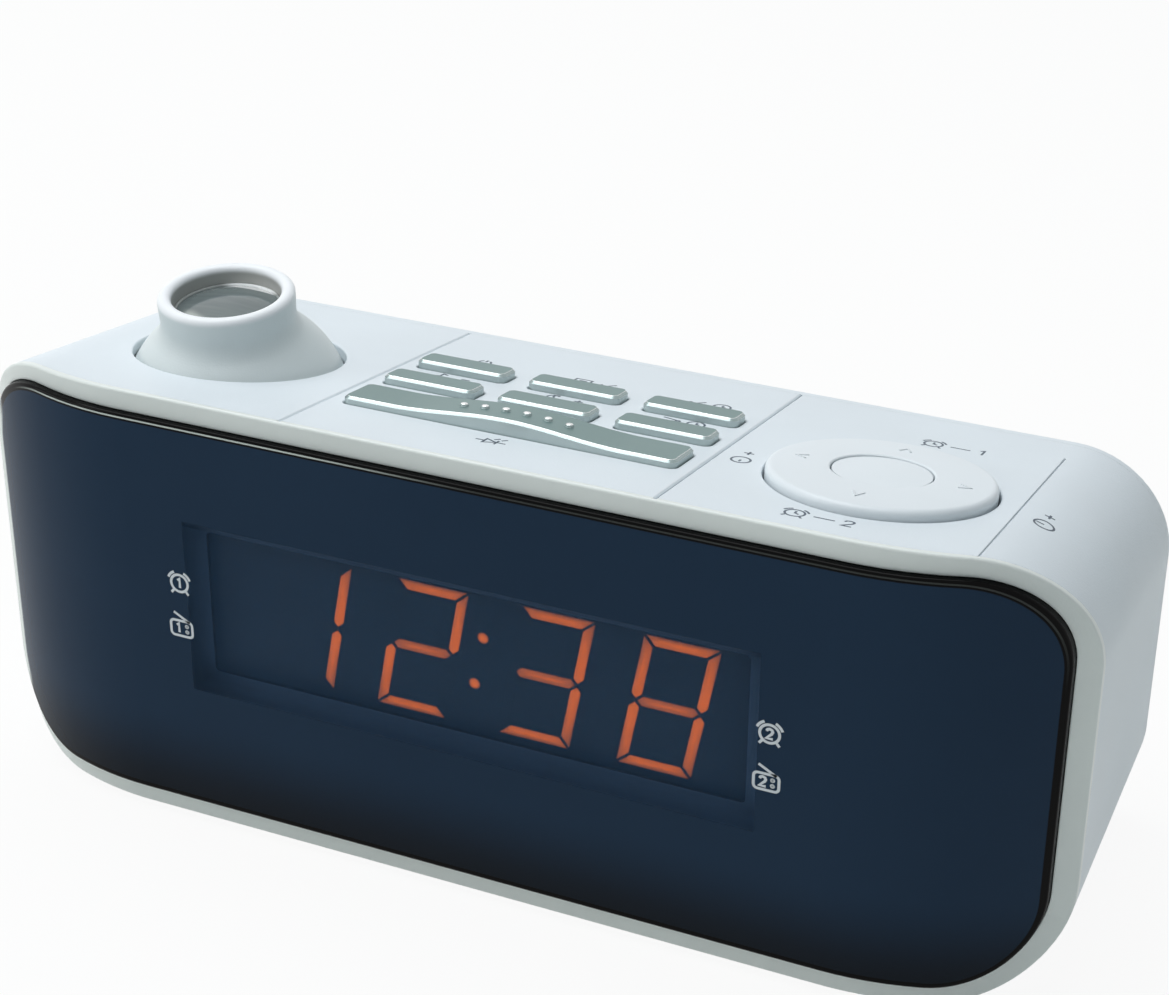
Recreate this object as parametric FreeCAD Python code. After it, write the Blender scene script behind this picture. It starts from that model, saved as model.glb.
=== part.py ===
import FreeCAD, Part
import math
import os
from FreeCAD import Placement, Rotation, Vector

# A bedside clock radio with a time projector: a low casing, bowed at the ends of its front,
# with six silver keys, an arched snooze bar, a round four-way pad and a tilting projector head.
# Millimetres. +X is the viewer's right, +Y runs to the back, +Z is up, z = 0 is the table.

# Casing
WIDTH = 190.0
FRONT_HEIGHT = 77.2
REAR_HEIGHT = 66.0
DEPTH = 68.0
FOOT_STAND = 1.0
SIDE_DRAFT = 0.9
TOP_RADIUS = 18.5
BOTTOM_RADIUS = 19.5
REAR_RADIUS = 16.8
BOW_REACH = 35.0
BOW_RADIUS = 50.0
WALL = 2.2
RIB = 1.2
RIB_RISE = 3.0
WELL_EDGE = 0.25
SEAM = 0.1

# Front frame and its smoked lens
FRAME_EDGE = 1.0
FRAME_FACE = 3.8
LIP_DEPTH = 8.0
LIP_WALL = 1.6
CREASE_RADIUS = 0.45
HOOK_PLACES = (-42.0, 42.0)
HOOK_WIDTH = 6.0
HOOK_LENGTH = 2.4
HOOK_REACH = 0.6
HOOK_ROOM = 0.15
RIM_WIDTH = 3.5
LENS_PROUD = 1.2
LENS_THICK = 3.0
LENS_EDGE_RADIUS = 0.5

# Display, heights above the underside of the casing
WINDOW_WIDTH = 92.6
WINDOW_LOW = 28.4
WINDOW_HIGH = 54.2
FILTER_THICK = 0.5
REFLECTOR_DEPTH = 6.4
DIGIT_LOW = 29.8
DIGIT_HEIGHT = 23.6
DIGIT_WIDTH = 12.4
DIGIT_SLANT = 10.5
DIGIT_LEFTS = (-36.9, -16.6, 4.6, 24.8)
COLON_X = -0.6
COLON_RISES = (0.33, 0.69)
COLON_RADIUS = 1.0
STROKE = 1.8
STROKE_GAP = 0.28
SEGMENT_DEPTH = 1.0
BOARD = 1.6
DISPLAY_BOARD_WIDTH = 72.0
DISPLAY_BOARD_MARGIN = 4.0

# Key panel between the two grooves of the top
PANEL_MARGIN = 2.5
PANEL_THICK = 2.0
LEDGE = 1.3
LEDGE_THICK = 1.6
GROOVE = 0.35
FINE_LINE_GAP = 3.7
FINE_LINE_LENGTH = 58.0
FINE_LINE_DEPTH = 0.25

# Keys and snooze bar, placed by their distance back from the front crease
KEY_WIDTH = 16.2
KEY_DEPTH = 5.7
KEY_CORNER = 1.4
KEY_HEIGHT = 1.4
KEY_GAP = 4.2
KEY_ROWS = (31.8, 43.7)
KEY_FIT = 0.2
KEY_TRAVEL = 0.5
FLANGE = 0.8
FLANGE_THICK = 1.0
EDGE_BEVEL = 0.45
STEM_RADIUS = 1.5
BAR_MARGIN = 2.75
BAR_DEPTH = 9.0
BAR_BACK = 19.7
BAR_HEIGHT = 1.2
BAR_ARCH = 1.25
BAR_ARCH_HALF = 20.0
PIPS = 6
PIP_PITCH = 3.6
PIP_RADIUS = 0.7
PIP_RISE = 0.3

# Switches and the boards that carry them
SWITCH_SIDE = 6.0
SWITCH_HEIGHT = 3.5
PLUNGER_RADIUS = 1.7
PLUNGER_RISE = 0.8
PLUNGER_GAP = 0.05
KEY_BOARD_DROP = 10.6
KEY_BOARD_MARGIN = 3.0
KEY_BOARD_HOLE_INSET = 3.3
KEY_BOARD_HOLE_SIDE = 4.0
KEY_BOARD_FRONT = 8.0
KEY_BOARD_OVERHANG = 10.3
BOSS_RADIUS = 2.4
PILOT_RADIUS = 0.9
SCREW_RADIUS = 1.0
SCREW_HEAD_RADIUS = 2.0
SCREW_HEAD = 1.4

# Four-way pad
PAD_SIDE_GAP = 25.6
PAD_SETBACK = 10.5
PAD_RADIUS = 17.5
PAD_FIT = 0.4
PAD_RISE = 1.9
PAD_EDGE_RADIUS = 1.0
PAD_PLATE = 2.4
PAD_ROCK = 2.3
PAD_WALL = 1.6
PAD_CROWN = 0.35
HUB_RADIUS = 8.7
HUB_DROP = 2.2
BUTTON_RADIUS = 7.6
BUTTON_FIT = 0.25
BUTTON_WALL = 1.4
BUTTON_CROWN = 0.3
BUTTON_MOUTH_RADIUS = 0.3
BUTTON_TRAVEL = 0.5
PIVOT_DROP = 5.0
RING_INNER = 9.0
RING_OUTER = 11.2
RING_THICK = 3.0
PIVOT_RADIUS = 0.8
PIVOT_FIT = 0.05
POST_INNER = 11.5
POST_OUTER = 13.6
LEG_INSET = 1.9
LEG_RADIUS = 1.2
CARRIER_DROP = 7.6
CARRIER_THICK = 1.5
CARRIER_OVERHANG = 1.1
LUG_CLEARANCE = 2.2
LUG_RADIUS = 3.2
POST_HALF = 2.2
POST_RISE = 1.8
PAD_BOARD_DROP = 14.0

# Projector head, a hollow ball on two trunnions
HEAD_SIDE_GAP = 25.0
HEAD_BACK = 30.4
HEAD_GAP = 1.25
HEAD_WELL = 3.0
HEAD_WELL_WALL = 1.6
HEAD_CENTRE_DROP = 9.5
HEAD_RADIUS = 19.0
HEAD_FIT = 0.35
HEAD_WALL = 2.0
HEAD_SKIRT = 5.0
HEAD_LEAN = 4.4
COLLAR_RADIUS = 11.3
COLLAR_WAIST = 11.15
COLLAR_FILLET = 4.5
RIM_PROUD = 2.75
LIP_RADIUS = 1.05
BORE_RADIUS = 9.0
LENS_SINK = 3.35
GLASS_RADIUS = 8.85
GLASS_EDGE = 1.4
GLASS_BULGE = 1.1
BARREL_RADIUS = 8.0
BARREL_WALL = 1.2
BARREL_BOTTOM = -9.0
BARREL_FLANGE = 2.0
STOP_RADIUS = 5.2
SLIDE_HALF = 6.0
SLIDE_THICK = 1.2
LAMP_BOARD = 1.2
TRUNNION_RADIUS = 2.5
TRUNNION_FIT = 0.06
CHEEK_GAP = 0.4
CHEEK_THICK = 2.8
CHEEK_HALF = 5.0
CHEEK_TOP_DROP = 3.4
CRADLE_DROP = 31.0
CRADLE_FLANGE_REACH = 9.6
CRADLE_FLANGE_DROP = 8.0
CRADLE_PLATE = 2.0
CRADLE_BOSS_OUTSET = 0.8

# Back, underside and what they hold
REAR_EDGE = 2.5
REAR_EDGE_RADIUS = 1.2
REAR_LIP = 4.0
REAR_SCREW_RISES = (22.0, 46.0)
REAR_SCREW_INSET = 4.8
REAR_BOSS_LENGTH = 16.0
REAR_BOSS_RADIUS = 3.2
SPEAKER_X = -45.0
SPEAKER_RISE = 33.0
SPEAKER_RADIUS = 25.0
SPEAKER_DEPTH = 17.0
SPEAKER_BASKET = 9.4
SPEAKER_FIT = 0.3
SPEAKER_SKIN = 1.0
BASKET_WINDOW = 9.0
MAGNET_RADIUS = 11.0
GRILLE_RADIUS = 21.0
GRILLE_SLOT = 1.8
GRILLE_PITCH = 3.8
GRILLE_BAR = 2.4
JACK_X = 66.0
JACK_RISE = 19.6
JACK_BORE = 3.1
JACK_WALL = 1.1
JACK_PIN = 1.0
JACK_BODY = 9.0
JACK_LENGTH = 13.0
GLAND_X = 44.0
GLAND_RISE = 26.0
GLAND_RADIUS = 3.2
GLAND_BORE = 1.1
GLAND_PROUD = 1.0
FOOT_X = 66.0
FOOT_FRONT = 14.0
FOOT_REAR_INSET = 11.0
FOOT_RADIUS = 5.0
FOOT_SEAT = 0.6
FOOT_BEVEL = 0.4
VENTS = 7
VENT_X = 44.0
VENT_BACK = 24.0
VENT_PITCH = 4.6
VENT_WIDTH = 1.8
VENT_LENGTH = 20.0
DOOR_X = 2.0
DOOR_WIDTH = 30.0
DOOR_LENGTH = 34.0
DOOR_THICK = 2.0
DOOR_FIT = 0.15
TONGUE = 1.2
TONGUE_RISE = 1.0
WELL_WALL = 1.4
WELL_HEIGHT = 8.0
CELL_RADIUS = 10.0
CELL_THICK = 3.2
CELL_ROOM = 1.5
CELL_LIFT = 0.6
CELL_STEP = 0.4
CONTACT_THICK = 0.3
GRIPS = 5
GRIP_PITCH = 1.8
GRIP_HALF = 8.0
GRIP_WIDTH = 0.9
GRIP_DEPTH = 0.4
MAIN_BOARD_LEFT = -17.0
MAIN_BOARD_RIGHT = 80.0
MAIN_BOARD_FRONT = 18.0
MAIN_BOARD_REAR_GAP = 4.0
MAIN_BOARD_RISE = 12.0
MAIN_BOARD_HOLE_INSET = 5.0

# Sizes that follow from the ones above
BOW_FLAT = WIDTH / 2 - BOW_REACH
KEY_PITCH = KEY_WIDTH + KEY_GAP
PANEL_HALF = 1.5 * KEY_WIDTH + KEY_GAP + PANEL_MARGIN
PAD_X = PANEL_HALF + PAD_SIDE_GAP
PAD_BACK = PAD_RADIUS + PAD_SETBACK
HEAD_X = -PANEL_HALF - HEAD_SIDE_GAP
FINE_LINE_X = PAD_X + PAD_RADIUS + FINE_LINE_GAP
BAR_WIDTH = 2 * (PANEL_HALF - BAR_MARGIN)
KEY_BOARD_HALF = PANEL_HALF - KEY_BOARD_MARGIN
KEY_BOARD_BACK = KEY_ROWS[1] + KEY_BOARD_OVERHANG
KEY_BOARD_HOLE_X = KEY_BOARD_HALF - KEY_BOARD_HOLE_SIDE
LEG_REACH = PAD_RADIUS - LEG_INSET
CARRIER_RADIUS = PAD_RADIUS + CARRIER_OVERHANG
LUG_REACH = PAD_RADIUS + PAD_FIT + LUG_CLEARANCE + BOSS_RADIUS
HEAD_HOLE = math.sqrt(HEAD_RADIUS ** 2 - HEAD_CENTRE_DROP ** 2) + HEAD_GAP
RIM_RISE = HEAD_RADIUS + RIM_PROUD
TRUNNION_REACH = HEAD_RADIUS + CHEEK_GAP + CHEEK_THICK
FOOT_REAR = DEPTH - FOOT_REAR_INSET
MAIN_BOARD_REAR = DEPTH - MAIN_BOARD_REAR_GAP

# Planes and directions
BASE = FOOT_STAND
FRONT_Y = LENS_PROUD - (DEPTH + LENS_PROUD + GLAND_PROUD) / 2
REAR_Y = FRONT_Y + DEPTH
SLOPE = math.degrees(math.atan2(FRONT_HEIGHT - REAR_HEIGHT, DEPTH))
TOP = Placement(Vector(0, FRONT_Y, BASE + FRONT_HEIGHT), Rotation(Vector(1, 0, 0), -SLOPE))
UP = Vector(0, 0, 1)
RIGHT = Vector(1, 0, 0)
BACKWARD = Vector(0, 1, 0)


def save(shape, name):
    shape.exportStep("parts/" + name + ".step")


def span_box(x0, x1, y0, y1, z0, z1):
    return Part.makeBox(x1 - x0, y1 - y0, z1 - z0, Vector(x0, y0, z0))


def rod(radius, start, end):
    run = end - start
    return Part.makeCylinder(radius, run.Length, start, run)


def arc(start, through, end):
    return Part.Arc(start, through, end).toShape()


def line(start, end):
    return Part.LineSegment(start, end).toShape()


def on_top(shape, x=0.0, back=0.0):
    """Move a shape drawn about the origin to a place on the sloping top."""
    placed = shape.copy()
    placed.translate(Vector(x, back, 0))
    placed.Placement = TOP.multiply(placed.Placement)
    return placed


def upright_outline(half, low, high, low_radius, high_radius, y):
    """Rounded rectangle in an upright plane, as a closed wire."""
    corners = (
        (half - high_radius, high - high_radius, 0, high_radius),
        (-half + high_radius, high - high_radius, 90, high_radius),
        (-half + low_radius, low + low_radius, 180, low_radius),
        (half - low_radius, low + low_radius, 270, low_radius),
    )
    edges = []
    first = None
    last = None
    for x, z, turn, radius in corners:
        points = []
        for angle in (turn, turn + 45, turn + 90):
            a = math.radians(angle)
            points.append(Vector(x + radius * math.cos(a), y, z + radius * math.sin(a)))
        if last is not None:
            edges.append(line(last, points[0]))
        else:
            first = points[0]
        edges.append(arc(*points))
        last = points[2]
    edges.append(line(last, first))
    return Part.Wire(edges)


def casing_form(inset):
    """The drafted outer form of the casing, or the same form drawn in by a wall."""
    front = upright_outline(
        WIDTH / 2 - inset, BASE + inset, BASE + FRONT_HEIGHT - inset,
        BOTTOM_RADIUS - inset, TOP_RADIUS - inset, FRONT_Y)
    rear = upright_outline(
        WIDTH / 2 - SIDE_DRAFT - inset, BASE + inset, BASE + REAR_HEIGHT - inset,
        REAR_RADIUS - inset, REAR_RADIUS - inset, REAR_Y)
    return Part.makeLoft([front, rear], True, True)


def bow_points(ahead):
    """Plan curve of the bowed front, moved ahead of the frame's face by a distance."""
    radius = BOW_RADIUS + ahead
    reach = WIDTH / 2 + 2 - BOW_FLAT
    centre_y = FRONT_Y + BOW_RADIUS
    full = math.asin(reach / radius)
    points = []
    for angle in (full, full / 2, 0.0):
        points.append(Vector(BOW_FLAT + radius * math.sin(angle), centre_y - radius * math.cos(angle), 0))
    return points


def bow_y(x, ahead):
    """Place of the bowed front along Y, at a distance from the middle."""
    beyond = max(0.0, abs(x) - BOW_FLAT)
    return FRONT_Y + BOW_RADIUS - math.sqrt((BOW_RADIUS + ahead) ** 2 - beyond ** 2)


def bow_edges(ahead):
    right = bow_points(ahead)
    left = [Vector(-p.x, p.y, 0) for p in right]
    return [arc(*right), line(right[2], left[2]), arc(left[2], left[1], left[0])]


def upright_prism(edges):
    """Raise a closed plan outline to the full height of the casing."""
    wire = Part.Wire(Part.sortEdges(edges)[0])
    wire.translate(Vector(0, 0, BASE - 5))
    return Part.Face(wire).extrude(Vector(0, 0, FRONT_HEIGHT + 10))


def bow_slab(ahead, behind):
    """Everything between two offsets of the bowed front."""
    a = bow_points(ahead)[0]
    b = bow_points(behind)[0]
    ends = [line(a, b), line(Vector(-a.x, a.y, 0), Vector(-b.x, b.y, 0))]
    return upright_prism(bow_edges(ahead) + bow_edges(behind) + ends)


def behind_bow(ahead, rear_y):
    """Everything behind one offset of the bowed front."""
    right = bow_points(ahead)[0]
    corners = [
        right, Vector(right.x, rear_y, 0), Vector(-right.x, rear_y, 0), Vector(-right.x, right.y, 0)]
    sides = [line(corners[i], corners[i + 1]) for i in range(3)]
    return upright_prism(bow_edges(ahead) + sides)


def front_prism(inset, y0, y1):
    """The front outline drawn in by an inset and carried straight back."""
    wire = upright_outline(
        WIDTH / 2 - inset, BASE + inset, BASE + FRONT_HEIGHT - inset,
        BOTTOM_RADIUS - inset, TOP_RADIUS - inset, y0)
    return Part.Face(wire).extrude(Vector(0, y1 - y0, 0))


def key_block(width, depth, corner, low, high):
    """Rounded key block about the origin, standing on the top's own plane."""
    block = Part.makeBox(width, depth, high - low, Vector(-width / 2, -depth / 2, low))
    return block.makeFillet(corner, [e for e in block.Edges if is_along(e, UP)])


def is_along(edge, direction):
    if not isinstance(edge.Curve, (Part.Line, Part.LineSegment)):
        return False
    run = edge.lastVertex().Point - edge.firstVertex().Point
    return run.Length > 1e-6 and abs(run.normalize().dot(direction)) > 0.999


def bevel_top(shape, size, height):
    """Bevel the edges that lie at a height."""
    edges = []
    for edge in shape.Edges:
        if all(abs(v.Z - height) < 1e-4 for v in edge.Vertexes):
            edges.append(edge)
    return shape.makeChamfer(size, edges)


def revolve(points):
    """Turn a closed profile of (radius, height) corners about the vertical axis."""
    wire = Part.makePolygon([Vector(r, 0, z) for r, z in points + points[:1]])
    return Part.Face(wire).revolve(Vector(0, 0, 0), UP, 360)


def screw(length):
    """Screw with its head under z = 0 and its shank pointing up."""
    head = Part.makeCylinder(SCREW_HEAD_RADIUS, SCREW_HEAD, Vector(0, 0, -SCREW_HEAD))
    return head.fuse(Part.makeCylinder(SCREW_RADIUS * 0.85, length))


def cap_arc(radius, base, rise):
    """Section of a spherical cap, from its crown on the axis out to its edge."""
    ball = (radius ** 2 + rise ** 2) / (2 * rise)
    middle = radius / 2
    height = base + rise - ball + math.copysign(math.sqrt(ball ** 2 - middle ** 2), ball)
    return arc(Vector(0, 0, base + rise), Vector(middle, 0, height), Vector(radius, 0, base))


def head_pose(shape):
    """Lean a shape drawn on the head's own axis and set it on the trunnion line."""
    posed = shape.copy()
    posed.rotate(Vector(0, 0, 0), RIGHT, HEAD_LEAN)
    posed.translate(TOP.multVec(Vector(HEAD_X, HEAD_BACK, -HEAD_CENTRE_DROP)))
    return posed


# Casing pieces

def rear_boss_places():
    places = []
    for side in (-1, 1):
        for rise in REAR_SCREW_RISES:
            places.append((side * (WIDTH / 2 - SIDE_DRAFT - REAR_SCREW_INSET), BASE + rise))
    return places


def foot_places():
    places = []
    for x in (-FOOT_X, FOOT_X):
        for back in (FOOT_FRONT, FOOT_REAR):
            places.append((x, FRONT_Y + back))
    return places


def door_span():
    return DOOR_X - DOOR_WIDTH / 2, DOOR_X + DOOR_WIDTH / 2


def cradle_boss_places():
    places = []
    reach = HEAD_RADIUS + CHEEK_GAP + CHEEK_THICK / 2 + CRADLE_BOSS_OUTSET
    for side in (-1, 1):
        for way in (-1, 1):
            places.append((HEAD_X + side * reach, HEAD_BACK + way * CRADLE_FLANGE_REACH))
    return places


def pad_boss_places():
    reach = LUG_REACH / math.sqrt(2)
    places = []
    for side in (-1, 1):
        for way in (-1, 1):
            places.append((PAD_X + side * reach, PAD_BACK + way * reach))
    return places


def main_board_posts():
    inset = MAIN_BOARD_HOLE_INSET
    places = []
    for x in (MAIN_BOARD_LEFT + inset, MAIN_BOARD_RIGHT - inset):
        for back in (MAIN_BOARD_FRONT + inset, MAIN_BOARD_REAR - inset):
            places.append((x, FRONT_Y + back))
    return places


def main_case():
    shell = casing_form(0).common(behind_bow(-FRAME_EDGE, REAR_Y - REAR_EDGE)).cut(casing_form(WALL))
    top_depth = DEPTH + 20
    ledge_low = -PANEL_THICK - LEDGE_THICK
    for side in (-1, 1):
        edge = side * (PANEL_HALF - LEDGE)
        outer = side * (PANEL_HALF + LEDGE)
        ledge = on_top(span_box(min(edge, outer), max(edge, outer), -5, top_depth, ledge_low, -WALL / 2))
        shell = shell.fuse(ledge.common(behind_bow(-FRAME_FACE - LIP_DEPTH, REAR_Y - REAR_EDGE - REAR_LIP)))
    for x, back in cradle_boss_places() + pad_boss_places():
        drop = CRADLE_FLANGE_DROP if x < 0 else CARRIER_DROP
        shell = shell.fuse(on_top(rod(BOSS_RADIUS, Vector(0, 0, -drop), Vector(0, 0, -WALL / 2)), x, back))
    well = Part.makeCylinder(HEAD_HOLE + HEAD_WELL_WALL, HEAD_WELL - WALL / 2, Vector(0, 0, -HEAD_WELL))
    shell = shell.fuse(on_top(well, HEAD_X, HEAD_BACK))
    for x, z in rear_boss_places():
        start = Vector(x, REAR_Y - REAR_EDGE - REAR_BOSS_LENGTH, z)
        boss = rod(REAR_BOSS_RADIUS, start, Vector(x, REAR_Y - REAR_EDGE, z))
        shell = shell.fuse(boss.common(casing_form(WALL / 2)))
    for x, y in main_board_posts():
        post = rod(BOSS_RADIUS, Vector(x, y, BASE + WALL / 2), Vector(x, y, BASE + MAIN_BOARD_RISE))
        shell = shell.fuse(post)
    left, right = door_span()
    inner_y = REAR_Y - DOOR_LENGTH
    well_block = span_box(
        left - TONGUE - WELL_WALL, right + TONGUE + WELL_WALL, inner_y - WELL_WALL, REAR_Y - REAR_EDGE,
        BASE + WALL / 2, BASE + WELL_HEIGHT + WELL_WALL)
    shell = shell.fuse(well_block)
    shell = shell.cut(on_top(span_box(-PANEL_HALF, PANEL_HALF, -5, top_depth, -PANEL_THICK, 5)))
    inner = PANEL_HALF - LEDGE
    shell = shell.cut(on_top(span_box(-inner, inner, -5, top_depth, ledge_low - 1, 5)))
    for side in (-1, 1):
        shell = shell.cut(seam_bevel(side, -5))
    shell = shell.cut(on_top(Part.makeCylinder(HEAD_HOLE, 30, Vector(0, 0, -20)), HEAD_X, HEAD_BACK))
    socket = Part.makeSphere(HEAD_RADIUS + HEAD_FIT, Vector(0, 0, -HEAD_CENTRE_DROP))
    shell = shell.cut(on_top(socket, HEAD_X, HEAD_BACK))
    pad_hole = Part.makeCylinder(PAD_RADIUS + PAD_FIT, 10, Vector(0, 0, -5))
    shell = shell.cut(on_top(pad_hole, PAD_X, PAD_BACK))
    fine = span_box(-0.15, 0.15, 0, FINE_LINE_LENGTH, -FINE_LINE_DEPTH, 5)
    shell = shell.cut(on_top(fine, FINE_LINE_X, 0))
    for x, back in cradle_boss_places() + pad_boss_places():
        shell = shell.cut(on_top(rod(PILOT_RADIUS, Vector(0, 0, -20), Vector(0, 0, -WALL)), x, back))
    for x, z in rear_boss_places():
        start = Vector(x, REAR_Y - REAR_EDGE - REAR_BOSS_LENGTH + 2, z)
        shell = shell.cut(rod(PILOT_RADIUS, start, Vector(x, REAR_Y, z)))
    for x, y in main_board_posts():
        shell = shell.cut(rod(PILOT_RADIUS, Vector(x, y, BASE + WALL), Vector(x, y, BASE + 20)))
    for x, y in foot_places():
        shell = shell.cut(rod(FOOT_RADIUS + SEAM, Vector(x, y, 0), Vector(x, y, BASE + FOOT_SEAT)))
    for rib in floor_ribs():
        shell = shell.fuse(rib)
    for pocket in frame_hooks(HOOK_ROOM):
        shell = shell.cut(pocket)
    shell = shell.cut(door_clearance())
    for number in range(VENTS):
        x = VENT_X + number * VENT_PITCH
        y = FRONT_Y + VENT_BACK
        shell = shell.cut(span_box(x, x + VENT_WIDTH, y, y + VENT_LENGTH, 0, BASE + WALL + 1))
    shell = shell.removeSplitter()
    return shell.makeFillet(WELL_EDGE, well_edges(shell))


def frame_hooks(room):
    """Snap hooks of the front frame at the top and floor walls, or their pockets with room round them."""
    reach = HOOK_REACH + room
    profile = [
        (LIP_DEPTH - HOOK_LENGTH - room, 0.3), (LIP_DEPTH - HOOK_LENGTH - room, -reach),
        (LIP_DEPTH - HOOK_LENGTH / 2 + room, -reach), (LIP_DEPTH + room, 0.3)]
    half = HOOK_WIDTH / 2 + room
    wall = WALL + SEAM
    hooks = []
    for x in HOOK_PLACES:
        corners = [Vector(x - half, back, z) for back, z in profile]
        hook = Part.Face(Part.makePolygon(corners + corners[:1])).extrude(Vector(2 * half, 0, 0))
        lower = hook.copy()
        lower.translate(Vector(0, FRONT_Y, BASE + wall))
        upper = hook.mirror(Vector(0, 0, 0), UP)
        upper.translate(Vector(0, 0, -wall))
        hooks += [lower, on_top(upper)]
    return hooks


def well_edges(shape):
    """Edges of the wells sunk into the sloping top, clear of its grooves and its outline."""
    to_top = TOP.inverse()
    found = []
    for edge in shape.Edges:
        middle = edge.valueAt((edge.FirstParameter + edge.LastParameter) / 2)
        points = [to_top.multVec(p) for p in (edge.firstVertex().Point, middle, edge.lastVertex().Point)]
        on_surface = all(abs(p.z) < 1e-4 for p in points)
        clear_of_grooves = all(abs(abs(p.x) - PANEL_HALF) > 1 and abs(p.x) < FINE_LINE_X - 1 for p in points)
        clear_of_ends = all(FRAME_FACE < p.y < DEPTH - 2 * REAR_EDGE for p in points)
        if on_surface and clear_of_grooves and clear_of_ends:
            found.append(edge)
    return found


def floor_ribs():
    """Stiffening ribs across the floor, at each side of the cell well."""
    ribs = []
    for x0, x1 in ((-FOOT_X, DOOR_X - DOOR_WIDTH), (DOOR_X + DOOR_WIDTH, FOOT_X)):
        for back in (FOOT_FRONT, VENT_BACK + VENT_LENGTH + 2 * RIB):
            y = FRONT_Y + back
            ribs.append(span_box(x0, x1, y, y + RIB, BASE + WALL / 2, BASE + WALL + RIB_RISE))
    return ribs


def seam_bevel(side, start):
    """Wedge that takes the sharp edges off one panel groove, from a place behind the crease."""
    x = side * PANEL_HALF
    outline = Part.makePolygon([
        Vector(x - side * GROOVE, start, 0.01), Vector(x + side * GROOVE, start, 0.01),
        Vector(x, start, -GROOVE), Vector(x - side * GROOVE, start, 0.01)])
    return on_top(Part.Face(outline).extrude(Vector(0, DEPTH + 20, 0)))


def door_clearance():
    """Room for the battery door, its side tongues and the cell well above it."""
    left, right = door_span()
    inner_y = REAR_Y - DOOR_LENGTH
    front = inner_y - DOOR_FIT
    opening = span_box(left - DOOR_FIT, right + DOOR_FIT, front, REAR_Y + 5, 0, BASE + DOOR_THICK)
    groove = span_box(
        left - TONGUE - DOOR_FIT, right + TONGUE + DOOR_FIT, front, REAR_Y + 5,
        BASE + TONGUE_RISE - DOOR_FIT, BASE + DOOR_THICK + DOOR_FIT)
    cell_y = cell_centre().y
    reach = CELL_RADIUS + CELL_ROOM
    well = span_box(
        DOOR_X - reach, DOOR_X + reach, cell_y - reach, cell_y + reach, BASE + 1, BASE + WELL_HEIGHT)
    return opening.fuse(groove).fuse(well)


def frame_window():
    return span_box(
        -WINDOW_WIDTH / 2, WINDOW_WIDTH / 2, FRONT_Y - 5, FRONT_Y + 20, BASE + WINDOW_LOW, BASE + WINDOW_HIGH)


def front_frame():
    """White front frame: visible rim, lens seat, plate behind the lens and spigot lip."""
    face = casing_form(0).common(bow_slab(0, -FRAME_EDGE))
    crease = []
    for edge in face.Edges:
        middle = edge.valueAt((edge.FirstParameter + edge.LastParameter) / 2)
        if abs(middle.y - bow_y(middle.x, 0)) < 0.02:
            crease.append(edge)
    face = face.makeFillet(CREASE_RADIUS, crease)
    plate = bow_slab(-FRAME_EDGE, -FRAME_FACE).common(casing_form(WALL + SEAM))
    lip = bow_slab(-FRAME_FACE, -LIP_DEPTH).common(casing_form(WALL + SEAM))
    lip = lip.cut(casing_form(WALL + SEAM + LIP_WALL))
    for x, back in pad_boss_places():
        notch = rod(BOSS_RADIUS + 3 * SEAM, Vector(0, 0, -CARRIER_DROP - 1), Vector(0, 0, 1))
        lip = lip.cut(on_top(notch, x, back))
    frame = face.fuse(plate).fuse(lip)
    seat = bow_slab(5, LENS_PROUD - LENS_THICK).common(front_prism(RIM_WIDTH, FRONT_Y - 5, REAR_Y))
    frame = frame.cut(seat).cut(frame_window())
    for side in (-1, 1):
        frame = frame.cut(seam_bevel(side, CREASE_RADIUS + SEAM))
    for hook in frame_hooks(0.0):
        frame = frame.fuse(hook)
    for x, z in display_posts():
        post = rod(BOSS_RADIUS, Vector(x, FRONT_Y + FRAME_FACE - 0.5, z), Vector(x, display_board_y(), z))
        frame = frame.fuse(post)
        frame = frame.cut(rod(PILOT_RADIUS, Vector(x, FRONT_Y + FRAME_FACE, z), Vector(x, REAR_Y, z)))
    return frame.removeSplitter()


def front_lens():
    """Smoked lens that follows the bow and stands proud of the frame."""
    lens = bow_slab(LENS_PROUD, LENS_PROUD - LENS_THICK)
    lens = lens.common(front_prism(RIM_WIDTH + SEAM, FRONT_Y - 5, REAR_Y))
    front = []
    for edge in lens.Edges:
        middle = edge.valueAt((edge.FirstParameter + edge.LastParameter) / 2)
        on_face = abs(middle.y - bow_y(middle.x, LENS_PROUD)) < 0.02
        where_bow_starts = is_along(edge, UP) and abs(abs(middle.x) - BOW_FLAT) < 0.01
        if on_face and not where_bow_starts:
            front.append(edge)
    return lens.makeFillet(LENS_EDGE_RADIUS, front)


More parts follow.
